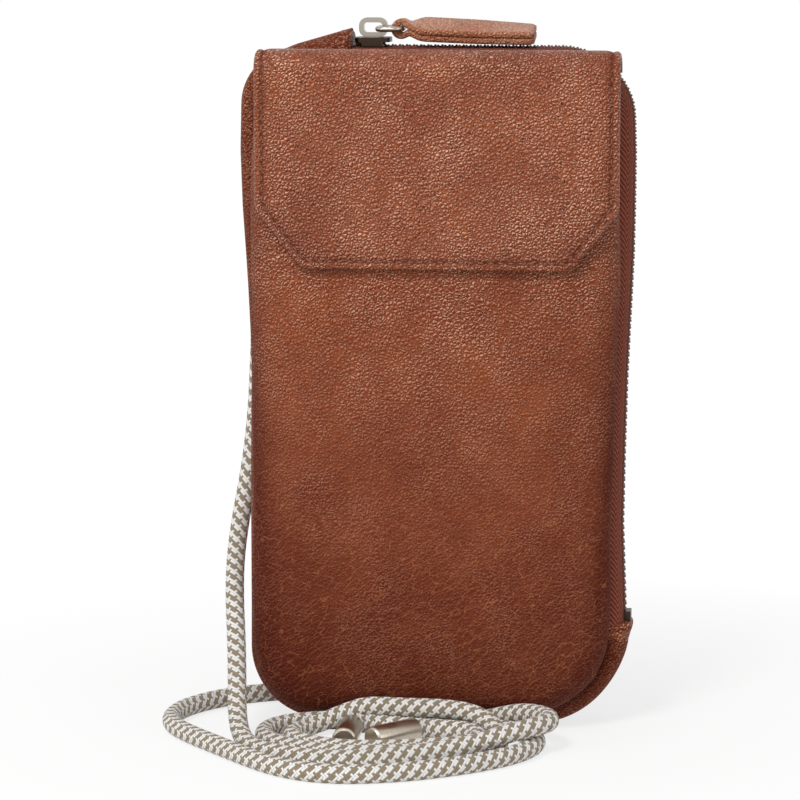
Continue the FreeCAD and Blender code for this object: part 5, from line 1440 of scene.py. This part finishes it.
for (x, z), (go_x, go_z) in zip(strip_line, heading):
    half = np.interp(x, (NECK_END, TAPER_END), (NECK_HALF, PULLER_HALF))
    from_end = PULLER_END - x
    if from_end < END_ROUND:
        half -= END_ROUND - math.sqrt(max(0.0, 2 * END_ROUND * from_end - from_end ** 2))
    thick = LAYER / 2 * min(1.0, 0.72 + 0.6 * from_end)
    edge = EDGE_ROUND * thick
    ring_points = [(half - edge + edge * math.cos(turn), thick * math.sin(turn)) for turn in STRIP_EDGE]
    ring_points += [(-y, -n) for y, n in ring_points]
    roll = math.radians(np.interp(x, *np.transpose(PULLER_ROLL)))
    for y, n in ring_points:
        above = z - n * go_x - BAR_Z
        sag = DROOP * max(0.0, (x - PULLER_BAR_X - DROOP_START) / (PULLER_END - PULLER_BAR_X))
        puller_points.append((x + n * go_z, y * math.cos(roll) - above * math.sin(roll),
                              BAR_Z + above * math.cos(roll) + y * math.sin(roll) - sag))
        puller_burnish.append(0.3 if abs(y) > half - EDGE_WIDTH else 0.0)
puller_faces = rod_faces(len(strip_line), 2 * len(STRIP_EDGE))
puller = sheet_piece("puller_leather", puller_points, puller_faces, puller_lit_hide, puller_burnish)
dress(puller, "puller", "leather", "puller_tab")
print("puller in mm:", round(PULLER_END - PULLER_BAR_X, 1))

# %% [markdown]
# Behind the pouch two short straps hold the carrying cord: each is a strip of leather sewn down above
# and below, with a tunnel between that lets the cord slide.

# %% Cord loops on the back
LOOP_FOOT, LOOP_Y, LOOP_Z = 12.5, 15.3, 150.0
LOOP_RADIUS = 3.45
LOOP_HALF = 5.0
LOOP_REACH = 8.0
LOOP_OUT = 20.0
STRAP_HALF_THICK = 0.62
SEAM_OFF, SEAM_HALF = 4.5, 4.2
THREAD_OUT = 0.55
LOOP_STITCH_STEP = 2.1
STRAP_LIFT, STRAP_GAP = 0.75, 0.6
foot = LOOP_FOOT + STRAP_LIFT
strap = [(foot, LOOP_Z - LOOP_RADIUS - LOOP_REACH - STRAP_GAP + along)
         for along in np.linspace(0, LOOP_REACH - STRAP_GAP, 9)]
strap += [(foot + 0.35, LOOP_Z - LOOP_RADIUS - 0.7), (foot + 1.2, LOOP_Z - LOOP_RADIUS - 0.1)]
strap += [(LOOP_Y + LOOP_RADIUS * math.sin(turn), LOOP_Z - LOOP_RADIUS * math.cos(turn))
          for turn in np.radians(np.linspace(0, 180, 21))]
strap += [(y, 2 * LOOP_Z - z) for y, z in strap[10::-1]]
strap = np.array(strap)
heading = np.gradient(strap, axis=0)
heading /= np.linalg.norm(heading, axis=1)[:, None]
for side, middle in (("left", -LOOP_OUT), ("right", LOOP_OUT)):
    loop_points = []
    loop_burnish = []
    for index, ((y, z), (go_y, go_z)) in enumerate(zip(strap, heading)):
        thick = STRAP_HALF_THICK * min(1.0, 0.6 + 0.2 * min(index, len(strap) - 1 - index))
        edge = [(LOOP_HALF - thick + thick * math.cos(turn), thick * math.sin(turn)) for turn in STRIP_EDGE]
        edge += [(-x, -n) for x, n in edge]
        for x, n in edge:
            loop_points.append((middle + x, y + n * go_z, z - n * go_y))
            loop_burnish.append(0.4 if abs(x) > LOOP_HALF - EDGE_WIDTH else 0.1)
    loop_faces = rod_faces(len(strap), 2 * len(STRIP_EDGE))
    loop = sheet_piece(f"cord_loop_{side}_leather", loop_points, loop_faces, pebbled_hide, loop_burnish)
    dress(loop, "pouch", "leather", f"cord_loop_{side}")
    for end, height in (("low", LOOP_Z - LOOP_RADIUS - SEAM_OFF), ("high", LOOP_Z + LOOP_RADIUS + SEAM_OFF)):
        row = [(middle - SEAM_HALF, foot + THREAD_OUT, height), (middle + SEAM_HALF, foot + THREAD_OUT, height)]
        stitch_row(f"loop_{side}_{end}_stitches", row, (0, 1, 0), "pouch", LOOP_STITCH_STEP)
print("loops at x:", -LOOP_OUT, LOOP_OUT)

# %% [markdown]
# Some solids keep their own shape: small metal parts get rounded edges and their plate, and what is
# hidden inside gets the material it is made of.

# %% Finishes for the solids that stay
# Pressed paper fibre: dull and flecked.
card = flecked("grey_board", 1200.0, 3.0, ("5d5954", "8a857e"), {"Roughness": 0.9, "IOR": 1.5})

KEPT = {
    "slider_body": aged, "slider_bridge": nickel, "zip_stop": aged, "pocket_magnet": nickel,
    "flap_magnet": nickel, "flap_board": card, "gusset_lining": twill, "back_lining": twill,
    "back_padding": foam,
}
ROUNDED = {"slider_body": 0.35, "slider_bridge": 0.5, "zip_stop": 0.5}
for name, finish in KEPT.items():
    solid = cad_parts[name]
    solid.data.materials.clear()
    solid.data.materials.append(finish)
    if name in ROUNDED:
        soft = solid.modifiers.new("rounded_edges", "BEVEL")
        soft.width = ROUNDED[name] * MM
        soft.segments = 3
        soft.limit_method = "ANGLE"
print("solids kept:", len(KEPT))
